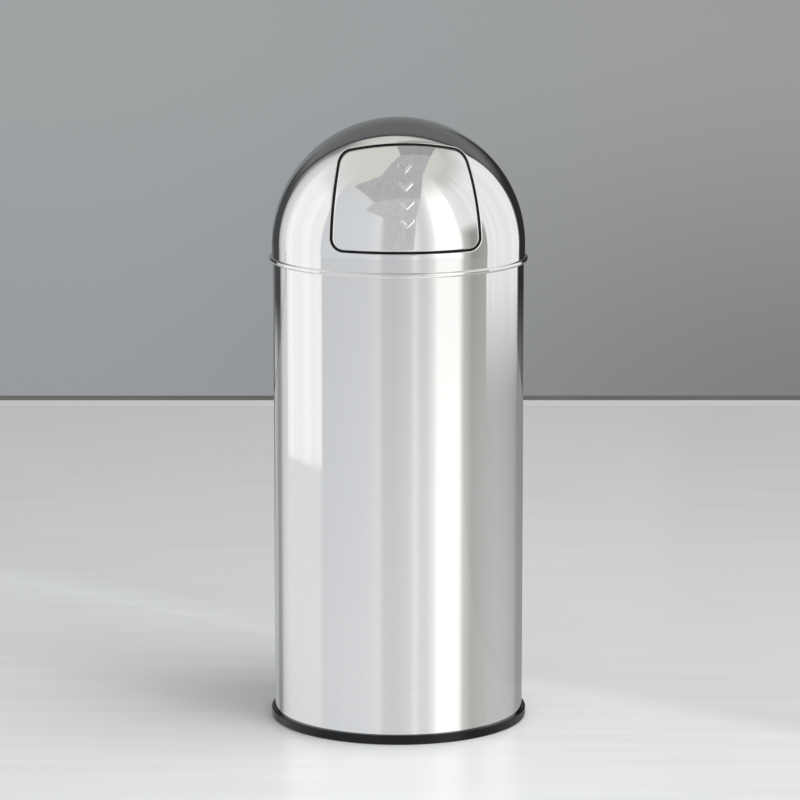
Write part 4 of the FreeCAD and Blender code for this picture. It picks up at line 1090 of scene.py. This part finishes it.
# The middle of the back wall's cone: to the right, away from the camera, and up.
BACK_WAY = (0.03, 0.93, 0.36)
# These fades read parts of a direction, as the floor's read places.
ROOM_FADES = {
    "ceiling": ("up", 0.6, 0.95, 0.0, 1.0),
    "higher": ("up", 0.0, 0.6, 0.0, 1.0),
    "cornice": ("back", 0.81, 0.86, 0.0, 1.0),
    "behind": ("back", 0.795, 0.812, 0.0, 1.0),
    "lower": ("up", -0.19, -0.09, 1.0, 0.0),
    "to_right": ("right", -0.08, 0.11, 0.0, 1.0),
}
# Each mix goes from one colour to another by the share that a fade gives.
ROOM_MIXES = [
    ("room", "ceiling", "bands", "#b6b6b2"),
    ("back_wall", "higher", "#6a6c6e", "#56585a"),
    ("back_light", "cornice", "#3c3b3a", "back_wall"),
    ("all_round", "behind", "room", "back_light"),
    # The wall that the camera sees, with painted shade: darker low down and darker on the right.
    ("left_wall", "lower", "#9fa3a4", "#989b9e"),
    ("right_wall", "lower", "#9b9c9e", "#7e7f80"),
    ("wall", "to_right", "left_wall", "right_wall"),
]
# The bands' colours, by the bearing from the camera in degrees, positive to the right.
BANDS = [
    (-180, "#949698"),
    (-152, "#949698"),
    (-147, "#656668"),
    (-140, "#707173"),
    (-134, "#b0b1b3"),
    (-122, "#c3c4c6"),
    (-78, "#c3c4c6"),
    (-75, "#b3b6bb"),
    (-30, "#b8bbc0"),
    (-18, "#c0c2c5"),
    (-14, "#acaeb2"),
    (-4, "#a9abaf"),
    (4, "#aeb0b3"),
    (11, "#b6b8ba"),
    (14, "#cacbcd"),
    (17, "#c4c5c8"),
    (21, "#b6b8bb"),
    (26, "#babbbe"),
    (32, "#d2d2d2"),
    (36, "#f0f0f0"),
    (57, "#f0f0f0"),
    (62, "#a8a7a4"),
    (71, "#80807e"),
    (82, "#8b8b89"),
    (100, "#929493"),
    (120, "#8c8e8e"),
    (136, "#7a7c7e"),
    (142, "#5e5f60"),
    (166, "#5e5f60"),
    (172, "#949698"),
]
print("bands of light:", len(BANDS))

# %% [markdown]
# The world.
# It finds the bearing of every direction, looks up its band, and lays ceiling and back wall over it. An
# image of a room would do too, but here every band can be read and changed.

# %% Build the world
world = bpy.data.worlds.new("room")
bpy.context.scene.world = world
world.use_nodes = True
tree = world.node_tree
tree.nodes.clear()
way = add(tree, "ShaderNodeTexCoord").outputs["Generated"]
faced = add(tree, "ShaderNodeVectorRotate", {"Vector": way, "Angle": -CAMERA_TURN}, rotation_type="Z_AXIS")
axes = add(tree, "ShaderNodeSeparateXYZ", {0: faced.outputs[0]})
back = add(tree, "ShaderNodeVectorMath", {0: faced.outputs[0], 1: BACK_WAY}, operation="DOT_PRODUCT")
nearer = add(tree, "ShaderNodeMath", {0: axes.outputs["Y"], 1: -1.0}, operation="MULTIPLY")
bearing = add(tree, "ShaderNodeMath", {0: axes.outputs["X"], 1: nearer.outputs[0]}, operation="ARCTAN2")
turn_share = add(tree, "ShaderNodeMapRange", {
    "Value": bearing.outputs[0], "From Min": -math.pi, "From Max": math.pi,
})
ramp = add(tree, "ShaderNodeValToRGB", {0: turn_share.outputs[0]})
stops = ramp.color_ramp.elements
while len(stops) < len(BANDS):
    stops.new(1.0)
for stop, (degrees, code) in zip(stops, BANDS):
    stop.position = degrees / 360.0 + 0.5
    stop.color = colour(code)
readings = {"right": axes.outputs["X"], "up": axes.outputs["Z"], "back": back.outputs["Value"]}
fades = {}
for name, (reading, low, high, first, last) in ROOM_FADES.items():
    fade = add(tree, "ShaderNodeMapRange", {0: readings[reading], 1: low, 2: high, 3: first, 4: last},
               interpolation_type="SMOOTHSTEP")
    fades[name] = fade.outputs[0]
mixes = {"bands": ramp.outputs[0]}
for name, share, *pair in ROOM_MIXES:
    first, last = (mixes[one] if one in mixes else colour(one) for one in pair)
    mix = add(tree, "ShaderNodeMix", {0: fades[share], 6: first, 7: last}, data_type="RGBA")
    mixes[name] = mix.outputs[2]
light = add(tree, "ShaderNodeBackground", {"Color": mixes["all_round"], "Strength": BAND_STRENGTH})
wall = add(tree, "ShaderNodeBackground", {"Color": mixes["wall"]})
ray = add(tree, "ShaderNodeLightPath")
shown = add(tree, "ShaderNodeMixShader", {
    0: ray.outputs["Is Camera Ray"], 1: light.outputs[0], 2: wall.outputs[0],
})
add(tree, "ShaderNodeOutputWorld", {"Surface": shown.outputs[0]})
print("world:", len(tree.nodes), "nodes")

# %% [markdown]
# The shadow in the gap at the wall, and the lamp.
# A low strip glows dark grey where the floor meets the wall: painted shade in the gap. One broad soft
# lamp overhead gives the shadow at the bin's foot, and stays out of the reflections, where it would be
# a bright square.

# %% Add the strip and the lamp
STRIP_HEIGHT = 0.008
LAMP_SIZE = 2.2
LAMP_POWER = 68.0
LAMP_RIGHT = 1.2
LAMP_NEARER = 0.6
LAMP_HEIGHT = 2.9
LAMP_AIM = 0.3
strip_corners = (
    (-FLOOR_HALF, 0.0), (FLOOR_HALF, 0.0), (FLOOR_HALF, STRIP_HEIGHT), (-FLOOR_HALF, STRIP_HEIGHT),
)
# Painted shade: a dark grey glowing strip for the shadow in the gap between floor and wall.
staged("wall_gap_shadow", [
    sideways * across + forward * FLOOR_BACK + upward * height
    for across, height in strip_corners
], [(0, 1, 2, 3)], glow("wall_gap_shadow", "#686866", 1.0))
lamp_data = bpy.data.lights.new("soft_lamp", "AREA")
lamp_data.size = LAMP_SIZE
lamp_data.energy = LAMP_POWER
lamp = bpy.data.objects.new("soft_lamp", lamp_data)
lamp.location = tuple(sideways * LAMP_RIGHT - forward * LAMP_NEARER + upward * LAMP_HEIGHT)
aim = upward * LAMP_AIM - np.array(lamp.location)
lamp.rotation_euler = (math.atan2(math.hypot(aim[0], aim[1]), -aim[2]), 0.0, math.atan2(-aim[0], aim[1]))
lamp.visible_glossy = False
bpy.context.collection.objects.link(lamp)
bpy.context.scene.view_settings.view_transform = "Standard"
print("lamp at", [round(value, 3) for value in lamp.location])
